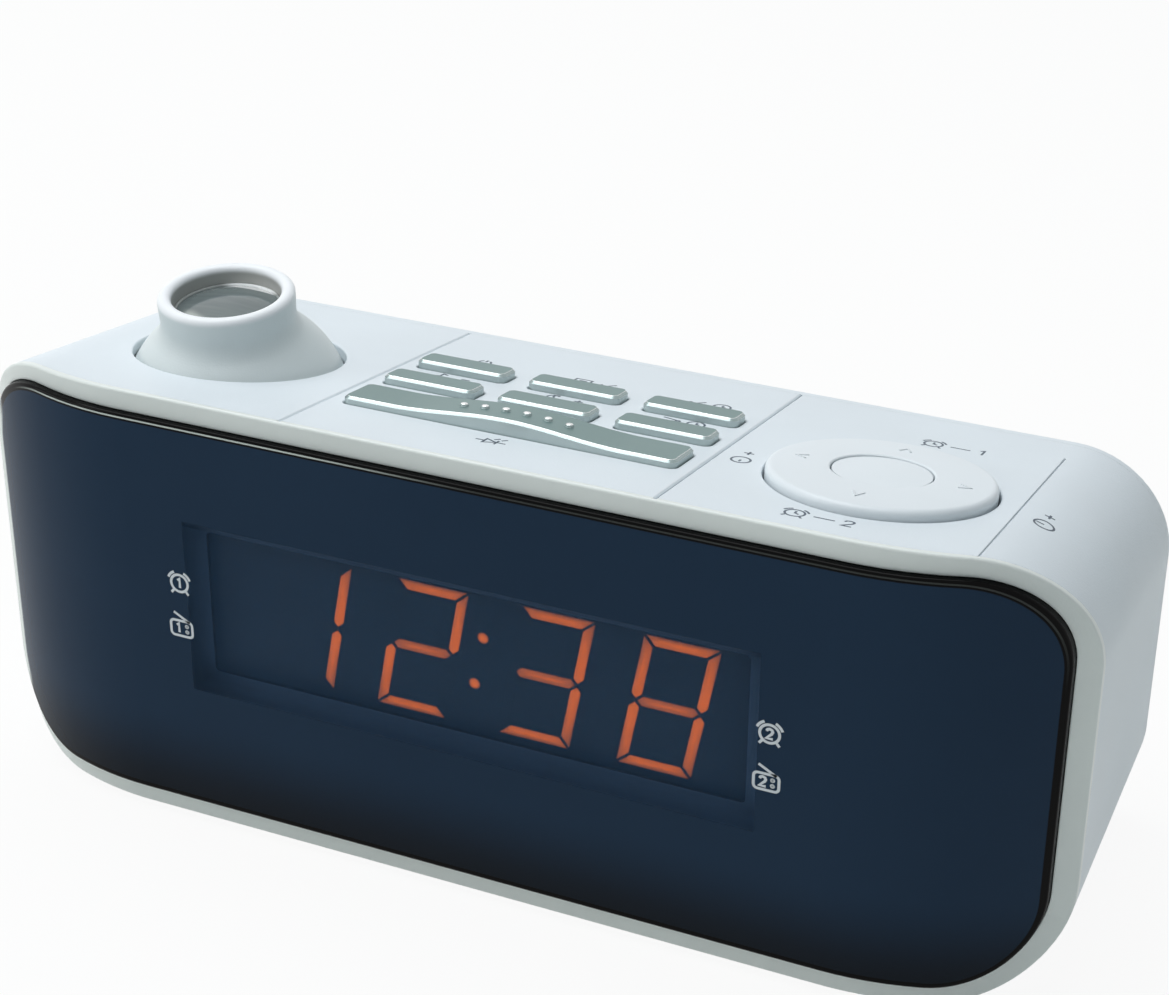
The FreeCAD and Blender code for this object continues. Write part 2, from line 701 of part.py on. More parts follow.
def key_panel():
    """Separate middle panel of the top, with the wells of the keys and the snooze bar."""
    half = PANEL_HALF - SEAM
    panel = on_top(span_box(-half, half, -5, DEPTH + 20, -PANEL_THICK, 0))
    panel = panel.common(span_box(
        -half, half, FRONT_Y + FRAME_EDGE, REAR_Y - REAR_EDGE, 0, BASE + FRONT_HEIGHT + 5))
    for x, back in key_places():
        hole = key_block(KEY_WIDTH + 2 * KEY_FIT, KEY_DEPTH + 2 * KEY_FIT, KEY_CORNER, -5, 5)
        panel = panel.cut(on_top(hole, x, back))
    hole = key_block(BAR_WIDTH + 2 * KEY_FIT, BAR_DEPTH + 2 * KEY_FIT, KEY_CORNER, -5, 5)
    panel = panel.cut(on_top(hole, 0, BAR_BACK))
    for side in (-1, 1):
        panel = panel.cut(seam_bevel(side, -5))
    for x, back in key_board_bosses():
        boss = rod(BOSS_RADIUS, Vector(0, 0, -KEY_BOARD_DROP), Vector(0, 0, -PANEL_THICK / 2))
        panel = panel.fuse(on_top(boss, x, back))
        panel = panel.cut(on_top(rod(PILOT_RADIUS, Vector(0, 0, -20), Vector(0, 0, -PANEL_THICK)), x, back))
    panel = panel.removeSplitter()
    return panel.makeFillet(WELL_EDGE, well_edges(panel))


def rear_cover():
    """Back cover with its lip, screw recesses, speaker grille, inlet and gland holes."""
    plate = casing_form(0).common(span_box(-100, 100, REAR_Y - REAR_EDGE, REAR_Y, -5, 100))
    rim = [e for e in plate.Edges if abs(e.BoundBox.YMin - REAR_Y) < 1e-3]
    plate = plate.makeFillet(REAR_EDGE_RADIUS, rim)
    lip = casing_form(WALL + SEAM).cut(casing_form(WALL + SEAM + LIP_WALL))
    lip = lip.common(span_box(-100, 100, REAR_Y - REAR_EDGE - REAR_LIP, REAR_Y - REAR_EDGE, -5, 100))
    for x, z in rear_boss_places():
        around = rod(REAR_BOSS_RADIUS + 4 * SEAM, Vector(x, 0, z), Vector(x, REAR_Y - REAR_EDGE, z))
        lip = lip.cut(around)
    left, right = door_span()
    well_side = TONGUE + WELL_WALL + SEAM
    lip = lip.cut(span_box(left - well_side, right + well_side, 0, REAR_Y, 0, BASE + WELL_HEIGHT + 2))
    inner = SPEAKER_RADIUS + SPEAKER_FIT
    ring = revolve([(inner, 1), (inner + RIB, 1), (inner + RIB, -RIB_RISE), (inner, -RIB_RISE)])
    cover = plate.fuse(lip).fuse(speaker_pose(ring))
    cover = cover.cut(door_clearance())
    for x, z in rear_boss_places():
        cover = cover.cut(rod(SCREW_RADIUS + SEAM, Vector(x, 0, z), Vector(x, REAR_Y + 1, z)))
        sink = rod(SCREW_HEAD_RADIUS + 0.4, Vector(x, REAR_Y - SCREW_HEAD, z), Vector(x, REAR_Y + 1, z))
        cover = cover.cut(sink)
    cover = cover.cut(grille_slots())
    jack_z = BASE + JACK_RISE
    nose = rod(JACK_BORE + JACK_WALL + SEAM, Vector(JACK_X, 0, jack_z), Vector(JACK_X, REAR_Y + 1, jack_z))
    cover = cover.cut(nose)
    gland_z = BASE + GLAND_RISE
    cover = cover.cut(rod(GLAND_RADIUS, Vector(GLAND_X, 0, gland_z), Vector(GLAND_X, REAR_Y + 1, gland_z)))
    return cover.removeSplitter()


def grille_slots():
    """Rows of slots inside a circle, parted by two upright bars."""
    slots = []
    rows = int(GRILLE_RADIUS / GRILLE_PITCH)
    for row in range(-rows, rows + 1):
        z = BASE + SPEAKER_RISE + row * GRILLE_PITCH
        half = math.sqrt(GRILLE_RADIUS ** 2 - (row * GRILLE_PITCH) ** 2)
        third = GRILLE_RADIUS / 3
        for start, end in ((-half, -third), (-third, third), (third, half)):
            x0 = max(start, -half) + (GRILLE_BAR / 2 if start > -half else 0)
            x1 = min(end, half) - (GRILLE_BAR / 2 if end < half else 0)
            if x1 - x0 < 2 * GRILLE_SLOT:
                continue
            slots.append(span_box(
                SPEAKER_X + x0, SPEAKER_X + x1, REAR_Y - REAR_EDGE - 1, REAR_Y + 1,
                z - GRILLE_SLOT / 2, z + GRILLE_SLOT / 2))
    return Part.makeCompound(slots)


def rear_screws():
    screws = []
    for x, z in rear_boss_places():
        one = screw(9.0)
        one.rotate(Vector(0, 0, 0), RIGHT, 90)
        one.translate(Vector(x, REAR_Y - SCREW_HEAD, z))
        screws.append(one)
    return Part.makeCompound(screws)


def rubber_feet():
    feet = []
    for x, y in foot_places():
        foot = Part.makeCylinder(FOOT_RADIUS, FOOT_STAND + FOOT_SEAT, Vector(x, y, 0))
        ground = [e for e in foot.Edges if abs(e.BoundBox.ZMax) < 1e-4]
        feet.append(foot.makeChamfer(FOOT_BEVEL, ground))
    return Part.makeCompound(feet)


# Display

def display_back():
    return FRONT_Y + LENS_THICK - LENS_PROUD + FILTER_THICK


def display_board_y():
    return display_back() + REFLECTOR_DEPTH


def display_posts():
    places = []
    for side in (-1, 1):
        for z in (BASE + WINDOW_LOW - 5, BASE + WINDOW_HIGH + 2.4):
            places.append((side * (DISPLAY_BOARD_WIDTH / 2 - DISPLAY_BOARD_MARGIN), z))
    return places


def display_filter():
    y = FRONT_Y + LENS_THICK - LENS_PROUD
    return span_box(
        -WINDOW_WIDTH / 2 + SEAM, WINDOW_WIDTH / 2 - SEAM, y, y + FILTER_THICK,
        BASE + WINDOW_LOW + SEAM, BASE + WINDOW_HIGH - SEAM)


def segment_outline(index):
    """Corners of one bar of a digit, about the digit's lower left corner, before its slant."""
    w = DIGIT_WIDTH
    h = DIGIT_HEIGHT
    s = STROKE
    g = STROKE_GAP
    m = h / 2
    shapes = {
        "a": [(g, h), (w - g, h), (w - s - g, h - s), (s + g, h - s)],
        "g": [(g + s / 2, m), (s + g, m + s / 2), (w - s - g, m + s / 2),
              (w - g - s / 2, m), (w - s - g, m - s / 2), (s + g, m - s / 2)],
        "d": [(g, 0), (s + g, s), (w - s - g, s), (w - g, 0)],
        "f": [(0, h - g), (s, h - s - g), (s, m + s / 2 + g), (s / 2, m + g), (0, m + s / 2 + g)],
        "e": [(0, g), (s, s + g), (s, m - s / 2 - g), (s / 2, m - g), (0, m - s / 2 - g)],
        "b": [(w, h - g), (w - s, h - s - g), (w - s, m + s / 2 + g),
              (w - s / 2, m + g), (w, m + s / 2 + g)],
        "c": [(w, g), (w - s, s + g), (w - s, m - s / 2 - g), (w - s / 2, m - g), (w, m - s / 2 - g)],
    }
    return shapes[index]


DIGIT_BARS = {" ": "", "1": "bc", "2": "abged", "3": "abgcd", "8": "abcdefg"}


def display_bars(lit):
    """Light bars of the four digits and the colon, either those that glow or those that don't."""
    lean = math.tan(math.radians(DIGIT_SLANT))
    y = display_back()
    bars = []
    for left, digit in zip(DIGIT_LEFTS, "1238"):
        for index in "abcdefg":
            if (index in DIGIT_BARS[digit]) != lit:
                continue
            corners = []
            for x, z in segment_outline(index):
                corners.append(Vector(left + x + z * lean, y, BASE + DIGIT_LOW + z))
            wire = Part.makePolygon(corners + corners[:1])
            bars.append(Part.Face(wire).extrude(Vector(0, SEGMENT_DEPTH, 0)))
    if lit:
        for share in COLON_RISES:
            z = DIGIT_HEIGHT * share
            centre = Vector(COLON_X + z * lean, y, BASE + DIGIT_LOW + z)
            bars.append(Part.makeCylinder(COLON_RADIUS, SEGMENT_DEPTH, centre, BACKWARD))
    return Part.makeCompound(bars)


def display_reflector():
    """Reflector block behind the filter, with a pocket for each light bar."""
    y = display_back()
    block = span_box(
        -WINDOW_WIDTH / 2 + SEAM, WINDOW_WIDTH / 2 - SEAM, y, y + REFLECTOR_DEPTH,
        BASE + WINDOW_LOW + SEAM, BASE + WINDOW_HIGH - SEAM)
    return block.cut(display_bars(True)).cut(display_bars(False))


def display_board():
    y = display_board_y()
    half = DISPLAY_BOARD_WIDTH / 2
    board = span_box(-half, half, y, y + BOARD, BASE + WINDOW_LOW - 9, BASE + WINDOW_HIGH + 6)
    for x, z in display_posts():
        board = board.cut(rod(SCREW_RADIUS + SEAM, Vector(x, y - 1, z), Vector(x, y + 5, z)))
    return board


def display_screws():
    screws = []
    for x, z in display_posts():
        one = screw(5.0)
        one.rotate(Vector(0, 0, 0), RIGHT, 90)
        one.translate(Vector(x, display_board_y() + BOARD, z))
        screws.append(one)
    return Part.makeCompound(screws)


# Keys, snooze bar and their board

def key_places():
    return [(column * KEY_PITCH, back) for back in KEY_ROWS for column in (-1, 0, 1)]


def key_board_bosses():
    backs = (KEY_BOARD_FRONT + KEY_BOARD_HOLE_INSET, KEY_BOARD_BACK - KEY_BOARD_HOLE_INSET)
    return [(side * KEY_BOARD_HOLE_X, back) for side in (-1, 1) for back in backs]


def stem_end():
    """Height of a stem's tip, just clear of its switch when the key is down."""
    return -KEY_BOARD_DROP + SWITCH_HEIGHT + PLUNGER_RISE + KEY_TRAVEL + PLUNGER_GAP


def key():
    """Silver key with a softened top, a stop flange under the panel and a stem."""
    cap = key_block(KEY_WIDTH, KEY_DEPTH, KEY_CORNER, -PANEL_THICK - FLANGE_THICK, KEY_HEIGHT)
    cap = bevel_top(cap, EDGE_BEVEL, KEY_HEIGHT)
    flange = key_block(
        KEY_WIDTH + 2 * FLANGE, KEY_DEPTH + 2 * FLANGE, KEY_CORNER,
        -PANEL_THICK - FLANGE_THICK, -PANEL_THICK)
    stem = rod(STEM_RADIUS, Vector(0, 0, stem_end()), Vector(0, 0, -PANEL_THICK - FLANGE_THICK / 2))
    return cap.fuse(flange).fuse(stem).removeSplitter()


def bar_height(x):
    """Height of the snooze bar's arched top."""
    if abs(x) >= BAR_ARCH_HALF:
        return BAR_HEIGHT
    return BAR_HEIGHT + BAR_ARCH * (1 + math.cos(math.pi * x / BAR_ARCH_HALF)) / 2


def snooze_bar():
    """Long bar with an arched top, a row of raised pips, two stems and a stop flange."""
    half = BAR_WIDTH / 2
    front = -BAR_DEPTH / 2
    low = -PANEL_THICK - FLANGE_THICK
    steps = 8
    crown = []
    for step in range(-steps, steps + 1):
        x = BAR_ARCH_HALF * step / steps
        crown.append(Vector(x, front, bar_height(x)))
    curve = Part.BSplineCurve()
    curve.interpolate(Points=crown, InitialTangent=RIGHT, FinalTangent=RIGHT)
    corners = [
        Vector(-BAR_ARCH_HALF, front, BAR_HEIGHT), Vector(-half, front, BAR_HEIGHT),
        Vector(-half, front, low), Vector(half, front, low),
        Vector(half, front, BAR_HEIGHT), Vector(BAR_ARCH_HALF, front, BAR_HEIGHT)]
    edges = [line(corners[i], corners[i + 1]) for i in range(5)]
    profile = Part.Wire(Part.sortEdges(edges + [curve.toShape()])[0])
    bar = Part.Face(profile).extrude(Vector(0, BAR_DEPTH, 0))
    bar = bar.makeFillet(KEY_CORNER, [e for e in bar.Edges if is_along(e, UP)])
    top = []
    for edge in bar.Edges:
        box = edge.BoundBox
        middle = edge.valueAt((edge.FirstParameter + edge.LastParameter) / 2)
        if box.ZMin > BAR_HEIGHT - 1e-3 and not is_along(edge, BACKWARD):
            top.append(edge)
        elif is_along(edge, BACKWARD) and abs(abs(middle.x) - half) < 0.01 and middle.z > 0:
            top.append(edge)
    bar = bar.makeChamfer(EDGE_BEVEL, top)
    for number in range(PIPS):
        x = (number - (PIPS - 1) / 2) * PIP_PITCH
        bar = bar.fuse(Part.makeCylinder(PIP_RADIUS, bar_height(x) + PIP_RISE, Vector(x, 0, 0)))
    flange = key_block(BAR_WIDTH + 2 * FLANGE - 0.6, BAR_DEPTH + 2 * FLANGE, KEY_CORNER, low, -PANEL_THICK)
    bar = bar.fuse(flange)
    for x in (-KEY_PITCH, KEY_PITCH):
        bar = bar.fuse(rod(STEM_RADIUS, Vector(x, 0, stem_end()), Vector(x, 0, low + 0.5)))
    return on_top(bar.removeSplitter(), 0, BAR_BACK)


def switch():
    """Square push switch with its round plunger, standing on z = 0."""
    half = SWITCH_SIDE / 2
    body = span_box(-half, half, -half, half, 0, SWITCH_HEIGHT)
    return body.fuse(Part.makeCylinder(PLUNGER_RADIUS, PLUNGER_RISE, Vector(0, 0, SWITCH_HEIGHT)))


def key_switches():
    places = key_places() + [(-KEY_PITCH, BAR_BACK), (KEY_PITCH, BAR_BACK)]
    switches = []
    for x, back in places:
        one = switch()
        one.translate(Vector(0, 0, -KEY_BOARD_DROP))
        switches.append(on_top(one, x, back))
    return Part.makeCompound(switches)


def key_board():
    low = -KEY_BOARD_DROP - BOARD
    board = span_box(
        -KEY_BOARD_HALF, KEY_BOARD_HALF, KEY_BOARD_FRONT, KEY_BOARD_BACK, low, -KEY_BOARD_DROP)
    board = on_top(board)
    for x, back in key_board_bosses():
        board = board.cut(on_top(rod(SCREW_RADIUS + SEAM, Vector(0, 0, low - 1), Vector(0, 0, 0)), x, back))
    return board


def key_board_screws():
    screws = []
    for x, back in key_board_bosses():
        one = screw(6.0)
        one.translate(Vector(0, 0, -KEY_BOARD_DROP - BOARD))
        screws.append(on_top(one, x, back))
    return Part.makeCompound(screws)


# Four-way pad

def dial_pad():
    """Rocking disc with a crowned top, a hub on two pivots and four legs."""
    crown = PAD_CROWN
    top = PAD_RISE
    low = top - PAD_PLATE
    hub_low = -PIVOT_DROP - HUB_DROP
    bore = BUTTON_RADIUS + BUTTON_FIT
    outer = PAD_RADIUS
    inner = outer - PAD_WALL
    edge = top - crown
    mid = (outer + bore) / 2
    curve = arc(Vector(bore, 0, top), Vector(mid, 0, top - crown * 0.28), Vector(outer, 0, edge))
    corners = [
        Vector(outer, 0, edge), Vector(outer, 0, low - PAD_WALL), Vector(inner, 0, low - PAD_WALL),
        Vector(inner, 0, low), Vector(HUB_RADIUS, 0, low), Vector(HUB_RADIUS, 0, hub_low),
        Vector(bore, 0, hub_low), Vector(bore, 0, top)]
    edges = [line(corners[i], corners[i + 1]) for i in range(len(corners) - 1)]
    profile = Part.Wire(Part.sortEdges(edges + [curve])[0])
    pad = Part.Face(profile).revolve(Vector(0, 0, 0), UP, 360)
    rim = [e for e in pad.Edges if abs(e.BoundBox.ZMin - edge) < 1e-3 and e.BoundBox.XMax > outer - 0.01]
    pad = pad.makeFillet(PAD_EDGE_RADIUS, rim)
    lip = [e for e in pad.Edges if abs(e.BoundBox.ZMin - top) < 1e-3 and abs(e.BoundBox.XMax - bore) < 0.01]
    pad = pad.makeFillet(BUTTON_MOUTH_RADIUS, lip)
    for way in (-1, 1):
        start = Vector(0, way * (HUB_RADIUS - 0.3), -PIVOT_DROP)
        pad = pad.fuse(rod(PIVOT_RADIUS, start, Vector(0, way * (RING_OUTER - 0.2), -PIVOT_DROP)))
    leg_low = -PAD_BOARD_DROP + SWITCH_HEIGHT + PLUNGER_RISE + rock_drop() + PLUNGER_GAP
    for x, y in leg_places():
        pad = pad.fuse(rod(LEG_RADIUS, Vector(x, y, leg_low), Vector(x, y, low + 0.2)))
    return on_top(pad.removeSplitter(), PAD_X, PAD_BACK)


def rock_drop():
    return (LEG_REACH + LEG_RADIUS) * math.sin(math.radians(PAD_ROCK))


def leg_places():
    return [(LEG_REACH, 0), (-LEG_REACH, 0), (0, LEG_REACH), (0, -LEG_REACH)]


def dial_ring():
    """Gimbal ring between the pad and its carrier: two bores across, two pins outward."""
    tall = RING_THICK
    ring = Part.makeCylinder(RING_OUTER, tall, Vector(0, 0, -PIVOT_DROP - tall / 2))
    ring = ring.cut(Part.makeCylinder(RING_INNER, tall + 2, Vector(0, 0, -PIVOT_DROP - tall / 2 - 1)))
    reach = Vector(0, RING_OUTER + 2, 0)
    level = Vector(0, 0, -PIVOT_DROP)
    ring = ring.cut(rod(PIVOT_RADIUS + PIVOT_FIT, level - reach, level + reach))
    for side in (-1, 1):
        start = level + Vector(side * (RING_OUTER - 0.6), 0, 0)
        ring = ring.fuse(rod(PIVOT_RADIUS, start, level + Vector(side * (POST_OUTER - 0.2), 0, 0)))
    return on_top(ring.removeSplitter(), PAD_X, PAD_BACK)


def dial_carrier():
    """Plate under the casing top with two pivot posts and four screw lugs."""
    low = -CARRIER_DROP - CARRIER_THICK
    plate = Part.makeCylinder(CARRIER_RADIUS, CARRIER_THICK, Vector(0, 0, low))
    for x, back in pad_boss_places():
        place = Vector(x - PAD_X, back - PAD_BACK, 0)
        lug = Part.makeCylinder(LUG_RADIUS, CARRIER_THICK, place + Vector(0, 0, low))
        spacer = rod(BOSS_RADIUS, place + Vector(0, 0, -PAD_BOARD_DROP), place + Vector(0, 0, -CARRIER_DROP))
        arm = span_box(CARRIER_RADIUS - 2, LUG_REACH, -BOSS_RADIUS, BOSS_RADIUS, low, -CARRIER_DROP)
        arm.rotate(Vector(0, 0, 0), UP, math.degrees(math.atan2(place.y, place.x)))
        plate = plate.fuse(lug).fuse(spacer).fuse(arm)
    plate = plate.cut(Part.makeCylinder(POST_INNER, 10, Vector(0, 0, low - 1)))
    for side in (-1, 1):
        x0, x1 = sorted((side * POST_INNER, side * POST_OUTER))
        post = span_box(x0, x1, -POST_HALF, POST_HALF, low, -PIVOT_DROP + POST_RISE)
        plate = plate.fuse(post)
    bore = rod(PIVOT_RADIUS + PIVOT_FIT, Vector(-20, 0, -PIVOT_DROP), Vector(20, 0, -PIVOT_DROP))
    plate = plate.cut(bore)
    for x, y in leg_places():
        plate = plate.cut(Part.makeCylinder(LEG_RADIUS + 0.7, 10, Vector(x, y, low - 1)))
    for x, back in pad_boss_places():
        place = Vector(x - PAD_X, back - PAD_BACK, -20)
        plate = plate.cut(Part.makeCylinder(SCREW_RADIUS + SEAM, 20, place))
    return on_top(plate.removeSplitter(), PAD_X, PAD_BACK)


def dial_button():
    """Round centre button that slides in the pad's hub above its own switch."""
    crown = BUTTON_CROWN
    low = -PIVOT_DROP - HUB_DROP - FLANGE_THICK
    radius = BUTTON_RADIUS
    inner = radius - BUTTON_WALL
    roof = PAD_RISE - PAD_PLATE - PIVOT_RADIUS
    top = PAD_RISE + PLUNGER_GAP
    curve = cap_arc(radius, top - crown, crown)
    corners = [
        Vector(radius, 0, top - crown), Vector(radius, 0, low), Vector(inner, 0, low),
        Vector(inner, 0, roof), Vector(0, 0, roof), Vector(0, 0, top)]
    edges = [line(corners[i], corners[i + 1]) for i in range(len(corners) - 1)]
    profile = Part.Wire(Part.sortEdges(edges + [curve])[0])
    button = Part.Face(profile).revolve(Vector(0, 0, 0), UP, 360)
    flange = Part.makeCylinder(HUB_RADIUS, FLANGE_THICK, Vector(0, 0, low))
    flange = flange.cut(Part.makeCylinder(inner, FLANGE_THICK, Vector(0, 0, low)))
    tip = -PAD_BOARD_DROP + SWITCH_HEIGHT + PLUNGER_RISE + BUTTON_TRAVEL + 3 * PLUNGER_GAP
    button = button.fuse(flange).fuse(rod(STEM_RADIUS, Vector(0, 0, tip), Vector(0, 0, roof + SEAM)))
    return on_top(button.removeSplitter(), PAD_X, PAD_BACK)


def dial_switches():
    switches = []
    for x, y in leg_places() + [(0, 0)]:
        one = switch()
        one.translate(Vector(x, y, -PAD_BOARD_DROP))
        switches.append(on_top(one, PAD_X, PAD_BACK))
    return Part.makeCompound(switches)


def dial_board():
    half = LUG_REACH / math.sqrt(2) + 3.4
    low = -PAD_BOARD_DROP - BOARD
    board = key_block(2 * half, 2 * half, 3.0, low, -PAD_BOARD_DROP)
    for x, back in pad_boss_places():
        hole = Part.makeCylinder(SCREW_RADIUS + SEAM, 10, Vector(x - PAD_X, back - PAD_BACK, low - 1))
        board = board.cut(hole)
    return on_top(board, PAD_X, PAD_BACK).common(behind_bow(-FRAME_FACE - 2 * SEAM, REAR_Y))


def dial_screws():
    screws = []
    for x, back in pad_boss_places():
        one = screw(PAD_BOARD_DROP - 4)
        one.translate(Vector(0, 0, -PAD_BOARD_DROP - BOARD))
        screws.append(on_top(one, x, back))
    return Part.makeCompound(screws)


# Projector

def projector_head():
    """Ball shell with a collar blended into it by a concave sweep, and two trunnions."""
    ball = HEAD_RADIUS
    inner = ball - HEAD_WALL
    fillet = COLLAR_FILLET
    sweep_x = COLLAR_WAIST + fillet
    sweep_z = math.sqrt((ball + fillet) ** 2 - sweep_x ** 2)
    meet = math.atan2(sweep_z, sweep_x)
    touch = Vector(ball * math.cos(meet), 0, ball * math.sin(meet))
    turn = (math.pi + (math.pi + meet)) / 2
    sweep_mid = Vector(sweep_x + fillet * math.cos(turn), 0, sweep_z + fillet * math.sin(turn))
    waist = Vector(COLLAR_WAIST, 0, sweep_z)
    shoulder = Vector(COLLAR_RADIUS, 0, RIM_RISE - 1.4)
    skirt = -math.asin(HEAD_SKIRT / ball)
    foot = Vector(ball * math.cos(skirt), 0, -HEAD_SKIRT)
    half_way = (meet + skirt) / 2
    ball_mid = Vector(ball * math.cos(half_way), 0, ball * math.sin(half_way))
    inner_foot = Vector(math.sqrt(inner ** 2 - HEAD_SKIRT ** 2), 0, -HEAD_SKIRT)
    throat = BARREL_RADIUS + 0.1
    tube = throat + 2.0
    inner_top = Vector(tube, 0, math.sqrt(inner ** 2 - tube ** 2))
    inner_turn = (math.atan2(inner_top.z, inner_top.x) + math.atan2(inner_foot.z, inner_foot.x)) / 2
    inner_mid = Vector(inner * math.cos(inner_turn), 0, inner * math.sin(inner_turn))
    seat = RIM_RISE - LENS_SINK - GLASS_EDGE
    edges = [
        line(Vector(BORE_RADIUS, 0, RIM_RISE), Vector(COLLAR_RADIUS, 0, RIM_RISE)),
        line(Vector(COLLAR_RADIUS, 0, RIM_RISE), shoulder),
        line(shoulder, waist),
        arc(waist, sweep_mid, touch),
        arc(touch, ball_mid, foot),
        line(foot, inner_foot),
        arc(inner_foot, inner_mid, inner_top),
        line(inner_top, Vector(tube, 0, 2.0)),
        line(Vector(tube, 0, 2.0), Vector(throat, 0, 2.0)),
        line(Vector(throat, 0, 2.0), Vector(throat, 0, seat)),
        line(Vector(throat, 0, seat), Vector(BORE_RADIUS, 0, seat)),
        line(Vector(BORE_RADIUS, 0, seat), Vector(BORE_RADIUS, 0, RIM_RISE)),
    ]
    profile = Part.Wire(Part.sortEdges(edges)[0])
    head = Part.Face(profile).revolve(Vector(0, 0, 0), UP, 360)
    lip = [e for e in head.Edges if abs(e.BoundBox.ZMin - RIM_RISE) < 1e-3]
    head = head.makeFillet(LIP_RADIUS, lip)
    for side in (-1, 1):
        start = Vector(side * (inner + 0.5), 0, 0)
        head = head.fuse(rod(TRUNNION_RADIUS, start, Vector(side * TRUNNION_REACH, 0, 0)))
    return head_pose(head)


def projection_lens():
    """Glass lens, bulged on both faces, resting on the seat in the collar."""
    seat = RIM_RISE - LENS_SINK - GLASS_EDGE
    top = seat + GLASS_EDGE
    edges = [
        cap_arc(GLASS_RADIUS, top, GLASS_BULGE),
        line(Vector(GLASS_RADIUS, 0, top), Vector(GLASS_RADIUS, 0, seat)),
        line(Vector(GLASS_RADIUS, 0, seat), Vector(BARREL_RADIUS, 0, seat)),
        cap_arc(BARREL_RADIUS, seat, -GLASS_BULGE),
        line(Vector(0, 0, seat - GLASS_BULGE), Vector(0, 0, top + GLASS_BULGE)),
    ]
    profile = Part.Wire(Part.sortEdges(edges)[0])
    return head_pose(Part.Face(profile).revolve(Vector(0, 0, 0), UP, 360))


def lens_barrel():
    """Dark tube below the lens, with a foot flange for the picture slide and lamp."""
    top = RIM_RISE - LENS_SINK - GLASS_EDGE - GLASS_BULGE - 0.4
    tube = rod(BARREL_RADIUS, Vector(0, 0, BARREL_BOTTOM), Vector(0, 0, top))
    foot = Vector(0, 0, BARREL_BOTTOM)
    tube = tube.fuse(rod(BARREL_RADIUS + BARREL_FLANGE, foot, foot + Vector(0, 0, WALL)))
    tube = tube.cut(rod(BARREL_RADIUS - BARREL_WALL, Vector(0, 0, BARREL_BOTTOM - 1), Vector(0, 0, top + 1)))
    edge = BARREL_RADIUS - BARREL_WALL / 2
    stops = revolve([(STOP_RADIUS, 1.0), (edge, 1.0), (edge, 2.0), (STOP_RADIUS, 2.0)])
    return head_pose(tube.fuse(stops).removeSplitter())


def picture_slide():
    """Small liquid-crystal slide that the lamp shines through."""
    side = SLIDE_HALF + BARREL_FLANGE
    low = BARREL_BOTTOM - SLIDE_THICK
    return head_pose(span_box(-side, side, -SLIDE_HALF, SLIDE_HALF, low, BARREL_BOTTOM))


def lamp_board():
    low = BARREL_BOTTOM - SLIDE_THICK - LAMP_BOARD
    return head_pose(Part.makeCylinder(BARREL_RADIUS + BARREL_FLANGE, LAMP_BOARD, Vector(0, 0, low)))


def projector_cradle():
    """Bracket with two cheeks that carry the trunnions, joined by a strap below the head."""
    inner = HEAD_RADIUS + CHEEK_GAP
    outer = inner + CHEEK_THICK
    cradle = span_box(-outer, outer, -CHEEK_HALF, CHEEK_HALF, -CRADLE_DROP, -CRADLE_DROP + CRADLE_PLATE)
    for side in (-1, 1):
        x0, x1 = sorted((side * inner, side * outer))
        cheek = span_box(x0, x1, -CHEEK_HALF, CHEEK_HALF, -CRADLE_DROP, -CHEEK_TOP_DROP)
        top_corners = []
        for edge in cheek.Edges:
            if is_along(edge, RIGHT) and abs(edge.BoundBox.ZMin + CHEEK_TOP_DROP) < 1e-4:
                top_corners.append(edge)
        cradle = cradle.fuse(cheek.makeFillet(2.5, top_corners))
    for x, back in cradle_boss_places():
        place = Vector(x - HEAD_X, back - HEAD_BACK, 0)
        side = 1 if place.x > 0 else -1
        way = 1 if place.y > 0 else -1
        x0, x1 = sorted((side * inner, place.x + side * 2.2))
        y0, y1 = sorted((way * (CHEEK_HALF - 1), place.y + way * 2.6))
        flange = span_box(x0, x1, y0, y1, -CRADLE_FLANGE_DROP - CRADLE_PLATE, -CRADLE_FLANGE_DROP)
        cradle = cradle.fuse(flange)
        hole = Part.makeCylinder(SCREW_RADIUS + SEAM, 20, Vector(place.x, place.y, -20))
        cradle = cradle.cut(hole)
    level = Vector(0, 0, -HEAD_CENTRE_DROP)
    bore = rod(TRUNNION_RADIUS + TRUNNION_FIT, level - Vector(40, 0, 0), level + Vector(40, 0, 0))
    return on_top(cradle.cut(bore).removeSplitter(), HEAD_X, HEAD_BACK)


def cradle_screws():
    screws = []
    for x, back in cradle_boss_places():
        one = screw(6.0)
        one.translate(Vector(0, 0, -CRADLE_FLANGE_DROP - CRADLE_PLATE))
        screws.append(on_top(one, x, back))
    return Part.makeCompound(screws)


# Back and underside

def speaker_frame():
    """Pressed basket of the speaker, from its mounting ring to the magnet plate."""
    depth = SPEAKER_BASKET
    skin = SPEAKER_SKIN
    profile = [
        (SPEAKER_RADIUS, 0), (SPEAKER_RADIUS, -skin), (SPEAKER_RADIUS - 3, -skin), (15, -depth), (5, -depth),
        (5, skin - depth), (14.3, skin - depth), (SPEAKER_RADIUS - 4, 0)]
    basket = revolve(profile)
    for quarter in range(4):
        window = span_box(
            MAGNET_RADIUS + skin, SPEAKER_RADIUS - 5.5, -BASKET_WINDOW / 2, BASKET_WINDOW / 2,
            -depth - 1, -skin - 0.5)
        window.rotate(Vector(0, 0, 0), UP, 45 + 90 * quarter)
        basket = basket.cut(window)
    return speaker_pose(basket)


def speaker_pose(shape):
    """Stand a shape that faces +Z against the inside of the rear cover."""
    posed = shape.copy()
    posed.rotate(Vector(0, 0, 0), RIGHT, -90)
    posed.translate(Vector(SPEAKER_X, REAR_Y - REAR_EDGE, BASE + SPEAKER_RISE))
    return posed


